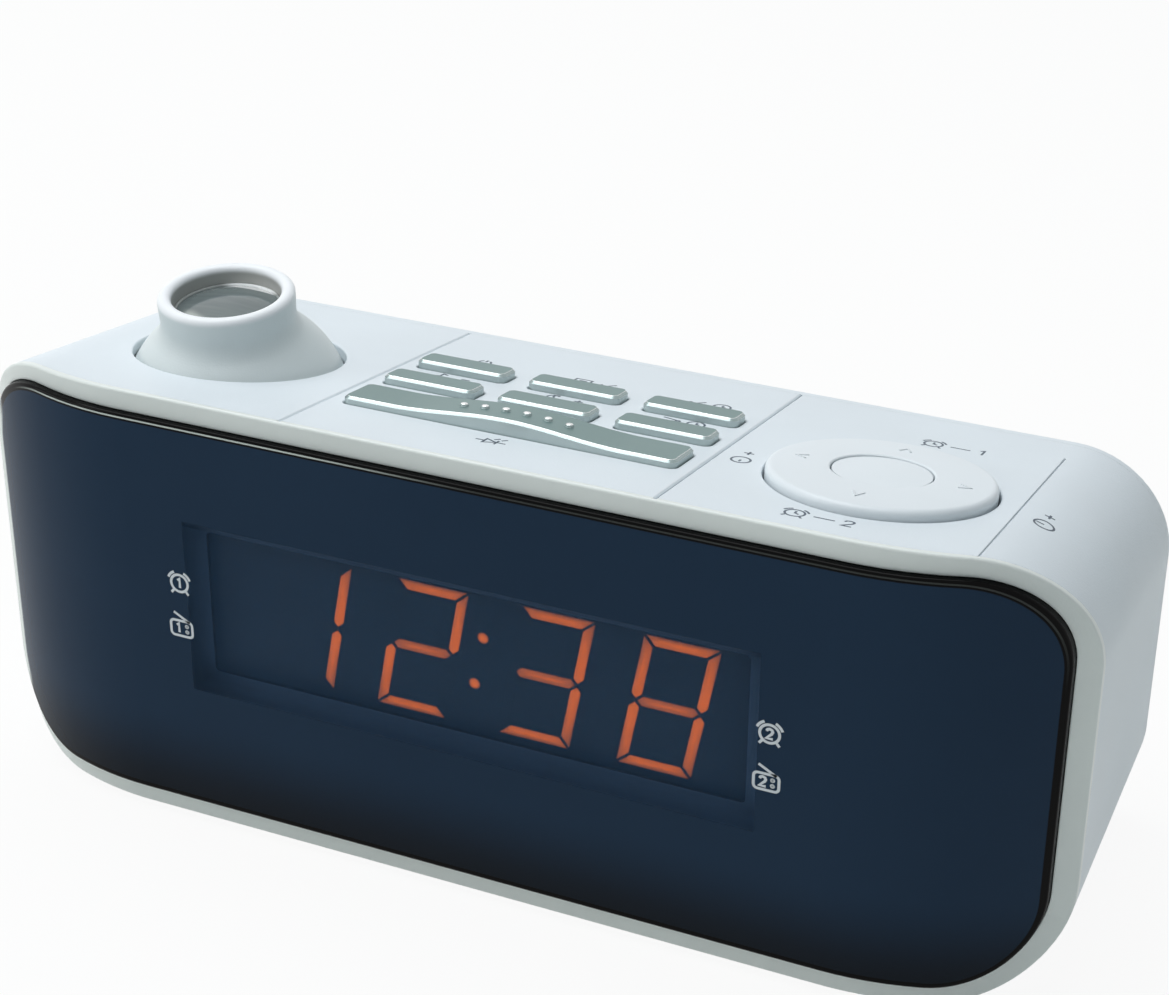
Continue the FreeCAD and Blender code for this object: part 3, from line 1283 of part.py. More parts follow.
def speaker_cone():
    """Paper cone and its surround, hung in the mouth of the basket."""
    neck = SPEAKER_BASKET - 2.2
    rim = SPEAKER_RADIUS - 4.5
    cone = revolve([
        (0, 1.6 - neck), (5, 0.8 - neck), (rim - 3, -1.2), (rim, -0.1), (rim, -0.5),
        (rim - 2.4, -2.0), (5.4, -neck), (0, -neck)])
    return speaker_pose(cone)


def speaker_magnet():
    tall = SPEAKER_DEPTH - SPEAKER_BASKET
    return speaker_pose(Part.makeCylinder(MAGNET_RADIUS, tall, Vector(0, 0, -SPEAKER_DEPTH)))


def battery_door():
    """Sliding door in the underside, with side tongues, a tapered lead and grip ribs."""
    left, right = door_span()
    inner_y = REAR_Y - DOOR_LENGTH
    door = span_box(left, right, inner_y, REAR_Y, BASE, BASE + DOOR_THICK)
    corners = [e for e in door.Edges if is_along(e, RIGHT) and e.BoundBox.YMin > REAR_Y - 1e-3]
    low_corner = [e for e in corners if e.BoundBox.ZMax < BASE + 1e-3]
    door = door.makeFillet(0.8, low_corner)
    tongues = span_box(
        left - TONGUE, right + TONGUE, inner_y, REAR_Y - REAR_EDGE - 1,
        BASE + TONGUE_RISE, BASE + DOOR_THICK)
    door = door.fuse(tongues)
    for number in range(GRIPS):
        y = REAR_Y - 2 * REAR_EDGE - number * GRIP_PITCH
        door = door.cut(span_box(
            DOOR_X - GRIP_HALF, DOOR_X + GRIP_HALF, y - GRIP_WIDTH, y, BASE - 1, BASE + GRIP_DEPTH))
    return door.removeSplitter()


def cell_centre():
    return Vector(DOOR_X, REAR_Y - DOOR_LENGTH / 2 - REAR_EDGE, BASE)


def coin_cell():
    """Button cell for memory back-up, with its smaller negative face upward."""
    centre = cell_centre()
    low = BASE + DOOR_THICK + DOOR_FIT + CELL_LIFT
    step = Vector(centre.x, centre.y, low + CELL_THICK - CELL_STEP)
    can = Part.makeCylinder(CELL_RADIUS, CELL_THICK - CELL_STEP, Vector(centre.x, centre.y, low))
    return can.fuse(Part.makeCylinder(CELL_RADIUS - 1.4, CELL_STEP, step))


def cell_contacts():
    """Sprung strip on the well's roof and side strip against the cell's can."""
    centre = cell_centre()
    cell_top = BASE + DOOR_THICK + DOOR_FIT + CELL_LIFT + CELL_THICK
    roof = BASE + WELL_HEIGHT
    half = 2.0
    thick = CONTACT_THICK
    points = [
        (-9.5, roof - thick), (-9.5, roof), (-4.0, roof), (1.0, cell_top + thick), (5.0, cell_top + thick),
        (5.0, cell_top), (0.6, cell_top), (-4.2, roof - thick)]
    corners = [Vector(centre.x - half, centre.y + y, z) for y, z in points]
    strip = Part.Face(Part.makePolygon(corners + corners[:1])).extrude(Vector(2 * half, 0, 0))
    edge = centre.x + CELL_RADIUS
    low = BASE + DOOR_THICK + DOOR_FIT + CELL_LIFT + CELL_STEP
    side = span_box(edge + 0.05, edge + 0.45, centre.y - 3, centre.y + 3, low, roof)
    return Part.makeCompound([strip, side])


def main_board():
    low = BASE + MAIN_BOARD_RISE
    board = span_box(
        MAIN_BOARD_LEFT, MAIN_BOARD_RIGHT, FRONT_Y + MAIN_BOARD_FRONT, FRONT_Y + MAIN_BOARD_REAR,
        low, low + BOARD)
    for x, y in main_board_posts():
        board = board.cut(rod(SCREW_RADIUS + SEAM, Vector(x, y, low - 1), Vector(x, y, low + 5)))
    return board


def main_board_screws():
    screws = []
    for x, y in main_board_posts():
        one = screw(6.0)
        one.rotate(Vector(0, 0, 0), RIGHT, 180)
        one.translate(Vector(x, y, BASE + MAIN_BOARD_RISE + BOARD))
        screws.append(one)
    return Part.makeCompound(screws)


def board_capacitors():
    low = BASE + MAIN_BOARD_RISE + BOARD
    cans = []
    for x, back, radius, tall in ((52.0, 30.0, 4.0, 11.0), (62.0, 30.0, 4.0, 11.0), (8.0, 28.0, 2.5, 7.0)):
        cans.append(Part.makeCylinder(radius, tall, Vector(x, FRONT_Y + back, low)))
    return Part.makeCompound(cans)


def board_chips():
    low = BASE + MAIN_BOARD_RISE + BOARD
    chips = []
    for x, back, width, depth in ((24.0, 44.0, 14.0, 14.0), (44.0, 44.0, 10.0, 6.0), (0.0, 46.0, 9.0, 6.0)):
        y = FRONT_Y + back
        chips.append(span_box(x - width / 2, x + width / 2, y - depth / 2, y + depth / 2, low, low + 1.8))
    return Part.makeCompound(chips)


def power_inlet():
    """Low-voltage inlet on the back edge of the main board, its nose flush in the cover."""
    z = BASE + JACK_RISE
    half = JACK_BODY / 2
    low = BASE + MAIN_BOARD_RISE + BOARD
    front = REAR_Y - REAR_EDGE - JACK_LENGTH
    body = span_box(JACK_X - half, JACK_X + half, front, REAR_Y - REAR_EDGE, low, z + half)
    start = Vector(JACK_X, REAR_Y - REAR_EDGE - 1, z)
    nose = rod(JACK_BORE + JACK_WALL, start, Vector(JACK_X, REAR_Y - SEAM, z))
    body = body.fuse(nose)
    body = body.cut(rod(JACK_BORE, Vector(JACK_X, REAR_Y - 9.5, z), Vector(JACK_X, REAR_Y + 1, z)))
    body = body.fuse(rod(JACK_PIN, Vector(JACK_X, REAR_Y - 10, z), Vector(JACK_X, REAR_Y - 1.2, z)))
    return body.removeSplitter()


def aerial_gland():
    """Rubber gland where the aerial wire leaves the back cover."""
    z = BASE + GLAND_RISE
    outside = GLAND_PROUD
    groove = GLAND_RADIUS - SEAM / 2
    flange = GLAND_RADIUS + 1.2
    profile = [
        (GLAND_BORE, outside), (flange - 0.5, outside), (flange, outside - 0.5), (flange, 0), (groove, 0),
        (groove, -REAR_EDGE), (flange, -REAR_EDGE), (flange, -REAR_EDGE - 1), (GLAND_BORE, -REAR_EDGE - 1)]
    gland = revolve(profile)
    gland.rotate(Vector(0, 0, 0), RIGHT, -90)
    gland.translate(Vector(GLAND_X, REAR_Y, z))
    return gland


os.makedirs("parts", exist_ok=True)

KEY_NAMES = (
    "key_front_left", "key_front_middle", "key_front_right",
    "key_rear_left", "key_rear_middle", "key_rear_right")
for name, (key_x, key_back) in zip(KEY_NAMES, key_places()):
    save(on_top(key(), key_x, key_back), name)

for piece in (
        main_case, front_frame, front_lens, key_panel, rear_cover, rear_screws, rubber_feet,
        display_filter, display_reflector, display_board, display_screws,
        snooze_bar, key_switches, key_board, key_board_screws,
        dial_pad, dial_ring, dial_carrier, dial_button, dial_switches, dial_board, dial_screws,
        projector_head, projection_lens, lens_barrel, picture_slide, lamp_board, projector_cradle,
        cradle_screws, speaker_frame, speaker_cone, speaker_magnet, battery_door, coin_cell,
        cell_contacts, main_board, main_board_screws, board_capacitors, board_chips, power_inlet,
        aerial_gland):
    save(piece(), piece.__name__)
save(display_bars(True), "lit_bars")
save(display_bars(False), "dark_bars")
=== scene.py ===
import math

import bmesh
import bpy
from mathutils import Matrix, Vector
from mathutils.geometry import tessellate_polygon


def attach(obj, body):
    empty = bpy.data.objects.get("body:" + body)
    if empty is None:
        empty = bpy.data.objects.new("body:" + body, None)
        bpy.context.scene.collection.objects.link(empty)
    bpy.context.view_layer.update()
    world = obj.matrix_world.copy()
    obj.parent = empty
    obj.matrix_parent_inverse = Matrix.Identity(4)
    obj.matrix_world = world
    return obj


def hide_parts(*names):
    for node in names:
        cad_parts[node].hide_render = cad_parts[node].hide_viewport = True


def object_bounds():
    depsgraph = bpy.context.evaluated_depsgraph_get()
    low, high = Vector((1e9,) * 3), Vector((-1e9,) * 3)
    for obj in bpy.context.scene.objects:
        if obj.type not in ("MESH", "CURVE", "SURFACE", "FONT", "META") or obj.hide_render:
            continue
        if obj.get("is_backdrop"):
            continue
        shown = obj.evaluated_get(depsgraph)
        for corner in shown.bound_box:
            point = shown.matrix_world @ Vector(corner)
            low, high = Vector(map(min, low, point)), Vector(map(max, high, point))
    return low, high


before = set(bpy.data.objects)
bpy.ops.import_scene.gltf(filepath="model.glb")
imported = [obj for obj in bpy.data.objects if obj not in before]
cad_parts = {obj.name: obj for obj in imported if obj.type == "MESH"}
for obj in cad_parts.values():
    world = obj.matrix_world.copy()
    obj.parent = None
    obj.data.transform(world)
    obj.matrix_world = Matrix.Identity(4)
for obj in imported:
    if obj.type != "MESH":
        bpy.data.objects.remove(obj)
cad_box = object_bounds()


# White casing
# The body, the keys' panel, the back cover and the battery door are injection mouldings of white
# ABS with a fine spark-eroded grain. The panel drops in between two grooves, and the cover is
# screwed on from behind.

def effect(name, inputs, outputs):
    """An empty shader node group with its sockets, and the nodes at its two ends."""
    group = bpy.data.node_groups.new(name, "ShaderNodeTree")
    for label, value in inputs:
        socket = group.interface.new_socket(name=label, in_out="INPUT", socket_type="NodeSocketFloat")
        socket.default_value = value
    for label, kind in outputs:
        group.interface.new_socket(name=label, in_out="OUTPUT", socket_type="NodeSocket" + kind)
    start = group.nodes.new("NodeGroupInput")
    end = group.nodes.new("NodeGroupOutput")
    return group, start, end


def wire(tree, *pairs):
    for source, target in pairs:
        tree.links.new(source, target)


def maths(tree, operation, first, second=None, third=None):
    node = tree.nodes.new("ShaderNodeMath")
    node.operation = operation
    for socket, value in zip(node.inputs, (first, second, third)):
        if value is None:
            continue
        if isinstance(value, (int, float)):
            socket.default_value = value
        else:
            tree.links.new(value, socket)
    return node.outputs[0]


def spread(tree, value, low, high):
    """A soft step from 0 to 1 between two values, or from 1 to 0 where the first is the larger."""
    node = tree.nodes.new("ShaderNodeMapRange")
    node.interpolation_type = "SMOOTHSTEP"
    node.inputs["From Min"].default_value = low
    node.inputs["From Max"].default_value = high
    tree.links.new(value, node.inputs["Value"])
    return node.outputs[0]


def noise(tree, scale, detail, stretch=(1.0, 1.0, 1.0)):
    """Noise laid in the object's own metres, drawn out along an axis if asked."""
    place = tree.nodes.new("ShaderNodeTexCoord").outputs["Object"]
    grid = tree.nodes.new("ShaderNodeMapping")
    grid.inputs["Scale"].default_value = stretch
    cloud = tree.nodes.new("ShaderNodeTexNoise")
    cloud.inputs["Scale"].default_value = scale
    cloud.inputs["Detail"].default_value = detail
    wire(tree, (place, grid.inputs["Vector"]), (grid.outputs["Vector"], cloud.inputs["Vector"]))
    return cloud


def moulded_grain():
    """Spark-eroded grain: a fine height, and a slow drift in gloss and tone."""
    group, start, end = effect(
        "moulded_grain", [("Size", 0.0004)], [("Height", "Float"), ("Drift", "Float")])
    fine = noise(group, 1.0, 2.0)
    slow = noise(group, 38.0, 3.0)
    wire(
        group,
        (maths(group, "DIVIDE", 1.0, start.outputs["Size"]), fine.inputs["Scale"]),
        (fine.outputs["Fac"], end.inputs["Height"]),
        (spread(group, slow.outputs["Fac"], 0.3, 0.7), end.inputs["Drift"]))
    return group


def dot(tree, vector, way):
    """How far one vector reaches along another."""
    node = tree.nodes.new("ShaderNodeVectorMath")
    node.operation = "DOT_PRODUCT"
    tree.links.new(vector, node.inputs[0])
    if isinstance(way, Vector):
        node.inputs[1].default_value = way
    else:
        tree.links.new(way, node.inputs[1])
    return node.outputs["Value"]


def rounded_edge():
    """Where an edge is turned: a mask that is 1 on the edge, and the rounded normal there. Most finishes lay
    a painted highlight with the mask.
    """
    group, start, end = effect(
        "rounded_edge", [("Radius", 0.0003)], [("Mask", "Float"), ("Normal", "Vector")])
    bevel = group.nodes.new("ShaderNodeBevel")
    bevel.samples = 4
    flat = group.nodes.new("ShaderNodeNewGeometry")
    agreement = dot(group, bevel.outputs["Normal"], flat.outputs["Normal"])
    wire(
        group,
        (start.outputs["Radius"], bevel.inputs["Radius"]),
        (spread(group, agreement, 0.985, 0.80), end.inputs["Mask"]),
        (bevel.outputs["Normal"], end.inputs["Normal"]))
    return group


GRAIN = moulded_grain()
EDGE = rounded_edge()


def use(tree, group, **values):
    node = tree.nodes.new("ShaderNodeGroup")
    node.node_tree = group
    for label, value in values.items():
        node.inputs[label].default_value = value
    return node


def blank_material(name):
    material = bpy.data.materials.new(name)
    material.use_nodes = True
    tree = material.node_tree
    tree.nodes.clear()
    shader = tree.nodes.new("ShaderNodeBsdfPrincipled")
    out = tree.nodes.new("ShaderNodeOutputMaterial")
    tree.links.new(shader.outputs["BSDF"], out.inputs["Surface"])
    return material, tree, shader


def between(tree, share, low, high):
    """A colour that runs from one to another with a mask."""
    mix = tree.nodes.new("ShaderNodeMix")
    mix.data_type = "RGBA"
    for label, colour in (("A", low), ("B", high)):
        if isinstance(colour, tuple):
            mix.inputs[label].default_value = (*colour, 1.0)
        else:
            tree.links.new(colour, mix.inputs[label])
    tree.links.new(share, mix.inputs["Factor"])
    return mix.outputs["Result"]


def coat(tree, shader, tone, share, swing, rough):
    """Colour, and a roughness that swings with a mask."""
    wire(
        tree,
        (tone, shader.inputs["Base Color"]),
        (maths(tree, "MULTIPLY_ADD", share, swing, rough), shader.inputs["Roughness"]))


def raise_grain(tree, shader, height, size, depth, normal=None):
    bump = tree.nodes.new("ShaderNodeBump")
    bump.inputs["Strength"].default_value = depth
    bump.inputs["Distance"].default_value = size
    wire(tree, (height, bump.inputs["Height"]), (bump.outputs["Normal"], shader.inputs["Normal"]))
    if normal is not None:
        tree.links.new(normal, bump.inputs["Normal"])


def moulding(name, colour, rough, grain=0.0004, depth=0.02, edge=0.0003, pale=0.04, metal=0.0):
    """Moulded plastic: grain in the height, drift in tone and gloss, paler edges as a painted highlight, and
    smoother edges.
    """
    material, tree, shader = blank_material(name)
    texture = use(tree, GRAIN, Size=grain)
    turned = use(tree, EDGE, Radius=edge)
    darker = tuple(c * 0.965 for c in colour)
    # The paler tone is a painted highlight, laid on the edges by the edge mask.
    paler = tuple(min(1.0, c + pale) for c in colour)
    tone = between(tree, texture.outputs["Drift"], darker, colour)
    tone = between(tree, turned.outputs["Mask"], tone, paler)
    gloss = maths(tree, "MULTIPLY_ADD", texture.outputs["Drift"], 0.06, rough - 0.03)
    coat(tree, shader, tone, turned.outputs["Mask"], -0.10 * rough, gloss)
    raise_grain(tree, shader, texture.outputs["Height"], grain, depth, turned.outputs["Normal"])
    shader.inputs["Metallic"].default_value = metal
    return material


def dress(material, *nodes):
    """Give carried construction nodes their finish."""
    for node in nodes:
        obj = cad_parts[node]
        obj.data.materials.clear()
        obj.data.materials.append(material)


shell_white = moulding("shell_white", (0.77, 0.83, 0.87), 0.45, grain=0.00035, depth=0.12, pale=0.03)
dress(shell_white, "main_case", "key_panel", "rear_cover", "battery_door")


# Feet and back screws
# Four soft rubber discs are glued into shallow seats in the floor. Four zinc plated screws with
# cross recesses sit in their sinks in the back cover and bite into the casing's bosses.

foot_rubber = moulding("foot_rubber", (0.020, 0.020, 0.021), 0.75, grain=0.0006, depth=0.3, pale=0.02)
dress(foot_rubber, "rubber_feet", "aerial_gland")


def plated(name, colour, rough, scale, stretch=(1.0, 1.0, 1.0)):
    """Plated or rolled metal: cloudy tone and gloss, drawn out along the way it was worked, with a painted
    highlight on its edges.
    """
    material, tree, shader = blank_material(name)
    cloud = noise(tree, scale, 4.0, stretch)
    turned = use(tree, EDGE, Radius=0.0002)
    share = spread(tree, cloud.outputs["Fac"], 0.3, 0.7)
    tone = between(tree, share, tuple(c * 0.78 for c in colour), colour)
    # Edges are made brighter by a quarter as a painted highlight.
    tone = between(tree, turned.outputs["Mask"], tone, tuple(min(1.0, c * 1.25) for c in colour))
    coat(tree, shader, tone, share, 0.14, rough - 0.07)
    raise_grain(tree, shader, cloud.outputs["Fac"], 0.0001, 0.15, turned.outputs["Normal"])
    shader.inputs["Metallic"].default_value = 1.0
    return material


def model(name, body, material, vertices, faces, smooth=False):
    """A piece modelled here: its mesh, its finish and the body that it rides on."""
    mesh = bpy.data.meshes.new(name)
    mesh.from_pydata([tuple(v) for v in vertices], [], faces)
    shape = bmesh.new()
    shape.from_mesh(mesh)
    bmesh.ops.remove_doubles(shape, verts=shape.verts, dist=1e-7)
    bmesh.ops.recalc_face_normals(shape, faces=shape.faces)
    shape.to_mesh(mesh)
    shape.free()
    for face in mesh.polygons:
        face.use_smooth = smooth
    mesh.materials.append(material)
    piece = bpy.data.objects.new(name, mesh)
    bpy.context.collection.objects.link(piece)
    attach(piece, body)
    return piece


def circle(radius, steps):
    return [
        (radius * math.cos(2 * math.pi * i / steps), radius * math.sin(2 * math.pi * i / steps))
        for i in range(steps)]


def bridge(first, second, count):
    """Faces between two closed rings of vertices."""
    return [
        (first + i, first + (i + 1) % count, second + (i + 1) % count, second + i) for i in range(count)]


REAR_Y, MID_HEIGHT = 0.0341, 0.035
SCREW_R, SCREW_HEAD, FACE_SINK, RIM_SINK, ROUND = 0.0020, 0.0014, 0.00025, 0.00060, 24
SHANK_R, SHANK, POINT = 0.00085, 0.0085, 0.0008
FACE_SHARE, POINT_SHARE = 0.82, 0.2
RECESS_ARM, RECESS_HALF, RECESS_DEPTH, RECESS_TAPER = 0.00125, 0.00028, 0.0007, 0.8
FIRST_TURN, NEXT_TURN = 0.35, 1.1
corners_of_all = [v.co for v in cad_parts["rear_screws"].data.vertices]
screw_places = []
for x_side in (-1, 1):
    for z_side in (-1, 1):
        near = [
            v for v in corners_of_all
            if v.x * x_side > 0 and (v.z - MID_HEIGHT) * z_side > 0 and v.y > REAR_Y - SCREW_HEAD - 1e-5]
        centre = sum((v.copy() for v in near), Vector()) / len(near)
        screw_places.append((centre.x, centre.z))

a, b = RECESS_ARM, RECESS_HALF
cross = [(a, b), (b, b), (b, a)]
for quarter in range(3):
    cross += [(-v, u) for u, v in cross[-3:]]
vertices = []
faces = []
for number, (x, z) in enumerate(screw_places):
    turn = Matrix.Rotation(FIRST_TURN + NEXT_TURN * number, 2)
    face_ring = [turn @ Vector(p) for p in circle(SCREW_R * FACE_SHARE, ROUND)]
    recess = [turn @ Vector(p) for p in cross]
    rings = [
        (face_ring, FACE_SINK), (circle(SCREW_R, ROUND), RIM_SINK), (circle(SCREW_R, ROUND), SCREW_HEAD),
        (circle(SHANK_R, ROUND), SCREW_HEAD), (circle(SHANK_R, ROUND), SCREW_HEAD + SHANK),
        (circle(SHANK_R * POINT_SHARE, ROUND), SCREW_HEAD + SHANK + POINT)]
    base = len(vertices)
    for ring, sunk in rings:
        vertices += [(x + u, REAR_Y - sunk, z + v) for u, v in ring]
    for step in range(len(rings) - 1):
        faces += bridge(base + ROUND * step, base + ROUND * (step + 1), ROUND)
    faces.append(tuple(range(base + ROUND * (len(rings) - 1), base + ROUND * len(rings))))
    mouth = len(vertices)
    bottom = mouth + len(cross)
    for share, sunk in ((1.0, FACE_SINK), (RECESS_TAPER, FACE_SINK + RECESS_DEPTH)):
        vertices += [(x + u * share, REAR_Y - sunk, z + v * share) for u, v in recess]
    faces += bridge(mouth, bottom, len(cross))
    faces.append(tuple(range(bottom, bottom + len(cross))))
    loops = [[Vector((*p, 0)) for p in face_ring], [Vector((*p, 0)) for p in recess]]
    index = list(range(base, base + ROUND)) + list(range(mouth, bottom))
    faces += [tuple(index[i] for i in triangle) for triangle in tessellate_polygon(loops)]
bright_steel = plated("bright_steel", (0.62, 0.62, 0.63), 0.30, 900.0)
back_screws = model("back_screws", "casing", bright_steel, vertices, faces)
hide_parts("rear_screws")
dress(bright_steel, "display_screws", "key_board_screws", "dial_screws", "cradle_screws", "main_board_screws")


# Front frame
# The white frame is moulded with a glossier finish than the casing. It plugs into the casing's
# mouth with a lip and two pairs of hooks, and its rim stands round the lens.

frame_white = moulding("frame_white", (0.83, 0.87, 0.84), 0.33, grain=0.0005, depth=0.05, pale=0.08)
dress(frame_white, "front_frame")

WINDOW_HALF, WINDOW_LOW, WINDOW_HIGH = 0.0463, 0.0294, 0.0552
WINDOW_MID, WINDOW_TALL = (WINDOW_LOW + WINDOW_HIGH) / 2, (WINDOW_HIGH - WINDOW_LOW) / 2
SPRAY_HALF, SPRAY_TALL = WINDOW_HALF + 0.0022, WINDOW_TALL + 0.0021


def axes(tree):
    """The object's own X, Y and Z in metres."""
    split = tree.nodes.new("ShaderNodeSeparateXYZ")
    wire(tree, (tree.nodes.new("ShaderNodeTexCoord").outputs["Object"], split.inputs[0]))
    return split.outputs["X"], split.outputs["Y"], split.outputs["Z"]


def opening_mask():
    """1 on the frame's wall round the display, which is sprayed dark so that no light strays."""
    group, start, end = effect("opening_mask", [("Half", SPRAY_HALF)], [("Mask", "Float")])
    x, y, z = axes(group)
    across = maths(group, "SUBTRACT", maths(group, "ABSOLUTE", x), start.outputs["Half"])
    rise = maths(group, "ABSOLUTE", maths(group, "SUBTRACT", z, WINDOW_MID))
    inside = maths(
        group, "MULTIPLY", spread(group, across, 0.0002, -0.0002),
        spread(group, rise, SPRAY_TALL + 0.0002, SPRAY_TALL - 0.0002))
    wire(group, (inside, end.inputs["Mask"]))
    return group


tree = frame_white.node_tree
shader = tree.nodes["Principled BSDF"]
plastic = shader.inputs["Base Color"].links[0].from_socket
sprayed = use(tree, opening_mask(), Half=SPRAY_HALF)
sprayed_tone = between(tree, sprayed.outputs["Mask"], plastic, (0.010, 0.026, 0.050))
wire(tree, (sprayed_tone, shader.inputs["Base Color"]))


# Display behind the lens
# A dark blue reflector block holds one light bar for each stroke of the digits, on a circuit board
# screwed to the frame's posts. A thin tinted film lies over its face.

def circuit_board(name, mask, copper):
    """Solder mask over copper: straight traces and pads show through as a lighter green."""
    material, tree, shader = blank_material(name)
    place = tree.nodes.new("ShaderNodeTexCoord").outputs["Object"]
    traces = tree.nodes.new("ShaderNodeTexBrick")
    traces.inputs["Scale"].default_value = 260.0
    traces.inputs["Mortar Size"].default_value = 0.11
    traces.offset = 0.37
    pads = tree.nodes.new("ShaderNodeTexVoronoi")
    pads.inputs["Scale"].default_value = 330.0
    dots = spread(tree, pads.outputs["Distance"], 0.24, 0.16)
    show = maths(tree, "MAXIMUM", traces.outputs["Fac"], dots)
    turned = use(tree, EDGE, Radius=0.0002)
    wire(tree, (place, traces.inputs["Vector"]), (place, pads.inputs["Vector"]))
    tone = between(tree, turned.outputs["Mask"], between(tree, show, mask, copper), (0.30, 0.27, 0.16))
    coat(tree, shader, tone, show, -0.10, 0.38)
    raise_grain(tree, shader, show, 0.0001, 0.4)
    return material


green_board = circuit_board("circuit_board", (0.010, 0.075, 0.030), (0.030, 0.150, 0.060))
dress(green_board, "display_board", "key_board", "dial_board", "main_board", "lamp_board")
reflector_face = moulding("white_block", (0.030, 0.100, 0.210), 0.55, grain=0.0006, depth=0.1, pale=0.01)
dress(reflector_face, "display_reflector")
dark_bar = moulding("dark_light", (0.029, 0.095, 0.200), 0.50, grain=0.0008, depth=0.1, pale=0.01)
dress(dark_bar, "dark_bars")

FRONT_Y = -0.0339
FILM_FRONT, FILM_BACK, FILM_BEVEL = FRONT_Y + 0.00187, FRONT_Y + 0.00222, 0.0001
FILM_FIT, WINDOW_CORNER, CORNER_STEPS = 0.0001, 0.0008, 5
OUTLINE = 4 * CORNER_STEPS


def window_outline(grow, radius):
    """The window's outline let out by a distance, with rounded corners."""
    points = []
    for turn, (x, z) in enumerate(((1, 1), (-1, 1), (-1, -1), (1, -1))):
        for step in range(CORNER_STEPS):
            angle = math.pi / 2 * (turn + step / (CORNER_STEPS - 1))
            points.append((
                x * (WINDOW_HALF + grow - radius) + radius * math.cos(angle),
                WINDOW_MID + z * (WINDOW_TALL + grow - radius) + radius * math.sin(angle)))
    return points


vertices = []
for inward, y in (
        (0.0002, FILM_FRONT), (0.0, FILM_FRONT + FILM_BEVEL), (0.0, FILM_BACK), (0.0002, FILM_BACK)):
    vertices += [(x, y, z) for x, z in window_outline(-FILM_FIT - inward, WINDOW_CORNER - inward)]
faces = [tuple(range(OUTLINE)), tuple(range(3 * OUTLINE, 4 * OUTLINE))]
for step in range(3):
    faces += bridge(OUTLINE * step, OUTLINE * (step + 1), OUTLINE)
film_tint, tree, shader = blank_material("filter_film")
cloud = noise(tree, 900.0, 2.0)
haze = spread(tree, cloud.outputs["Fac"], 0.35, 0.65)
wire(
    tree,
    (between(tree, haze, (0.010, 0.014, 0.018), (0.014, 0.019, 0.024)), shader.inputs["Base Color"]),
    (maths(tree, "MULTIPLY_ADD", haze, 0.02, 0.11), shader.inputs["Alpha"]))
shader.inputs["Roughness"].default_value = 0.35
shader.inputs["Specular IOR Level"].default_value = 0.1
film = model("tinted_film", "casing", film_tint, vertices, faces)
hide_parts("display_filter")


# Light bars of the digits
# Each stroke is a diffusing bar of amber resin over its own light chip, so it is brightest in
# the middle and fades towards its ends. The colon's two points are round.

DIGIT_W, DIGIT_H, STROKE, GAP = 0.0124, 0.0236, 0.0018, 0.00028
DIGIT_FOOT, DIGIT_LEAN = 0.0308, math.tan(math.radians(10.5))
BAR_FRONT, BAR_DEPTH = FRONT_Y + 0.0023, 0.0010
DIGITS = ((-0.0369, "bc"), (-0.0166, "abged"), (0.0046, "abgcd"), (0.0248, "abcdefg"))
COLON_X, COLON_RISES, COLON_R, COLON_STEPS = -0.0006, (0.33, 0.69), 0.0010, 18


def bar_outline(letter):
    """Corners of one bar, about the digit's lower left corner and before its slant."""
    w, h, s, g = DIGIT_W, DIGIT_H, STROKE, GAP
    m = h / 2
    if letter in "ad":
        z = {"a": h, "d": 0}[letter]
        inner = z - s if letter == "a" else s
        return [(g, z), (w - g, z), (w - s - g, inner), (s + g, inner)]
    if letter == "g":
        return [
            (g + s / 2, m), (s + g, m + s / 2), (w - s - g, m + s / 2),
            (w - g - s / 2, m), (w - s - g, m - s / 2), (s + g, m - s / 2)]
    way = 1 if letter in "bf" else -1
    tall = [
        (0, m + way * (m - g)), (s, m + way * (m - s - g)), (s, m + way * (s / 2 + g)),
        (s / 2, m + way * g), (0, m + way * (s / 2 + g))]
    if letter in "bc":
        return [(w - x, z) for x, z in tall]
    return tall


def inset(points, by):
    """An outline with every side moved in by a distance."""
    middle = sum((Vector(p) for p in points), Vector((0, 0))) / len(points)
    smaller = []
    for i, point in enumerate(points):
        here = Vector(point)
        first = (here - Vector(points[i - 1])).normalized()
        second = (Vector(points[(i + 1) % len(points)]) - here).normalized()
        across = Vector((-first.y, first.x))
        inward = (across + Vector((-second.y, second.x))).normalized()
        step = inward * (by / max(0.3, inward.dot(across)))
        smaller.append(here + (step if step.dot(middle - here) > 0 else -step))
    return smaller


def glowing_bar(points, vertices, faces, heat):
    """One bar: a dark skirt round its slot, then rings, hotter towards its middle."""
    count = len(points)
    middle = sum((Vector(p) for p in points), Vector((0, 0))) / count
    reach = max((Vector(p) - middle).length for p in points)
    start = len(vertices)
    for by, y, warm in (
            (0.0, BAR_FRONT + BAR_DEPTH, 0.0), (0.0, BAR_FRONT, 0.0),
            (0.00013, BAR_FRONT - 0.00001, 0.9), (0.00062, BAR_FRONT - 0.00004, 1.0)):
        for spot in inset(points, by) if by else [Vector(p) for p in points]:
            away = (spot - middle).length / reach
            vertices.append((spot.x, y, spot.y))
            heat.append(warm * (1 - 0.85 * away * away))
    vertices.append((middle.x, BAR_FRONT - 0.00004, middle.y))
    heat.append(1.0)
    for step in range(3):
        faces += bridge(start + count * step, start + count * (step + 1), count)
    last = start + 3 * count
    faces += [(last + i, last + (i + 1) % count, start + 4 * count) for i in range(count)]
    faces.append(tuple(range(start, start + count)))


vertices = []
faces = []
heat = []
for left, letters in DIGITS:
    for letter in letters:
        corners = [(left + x + z * DIGIT_LEAN, DIGIT_FOOT + z) for x, z in bar_outline(letter)]
        glowing_bar(corners, vertices, faces, heat)
for share in COLON_RISES:
    z = DIGIT_H * share
    point = [(COLON_X + z * DIGIT_LEAN + u, DIGIT_FOOT + z + v) for u, v in circle(COLON_R, COLON_STEPS)]
    glowing_bar(point, vertices, faces, heat)

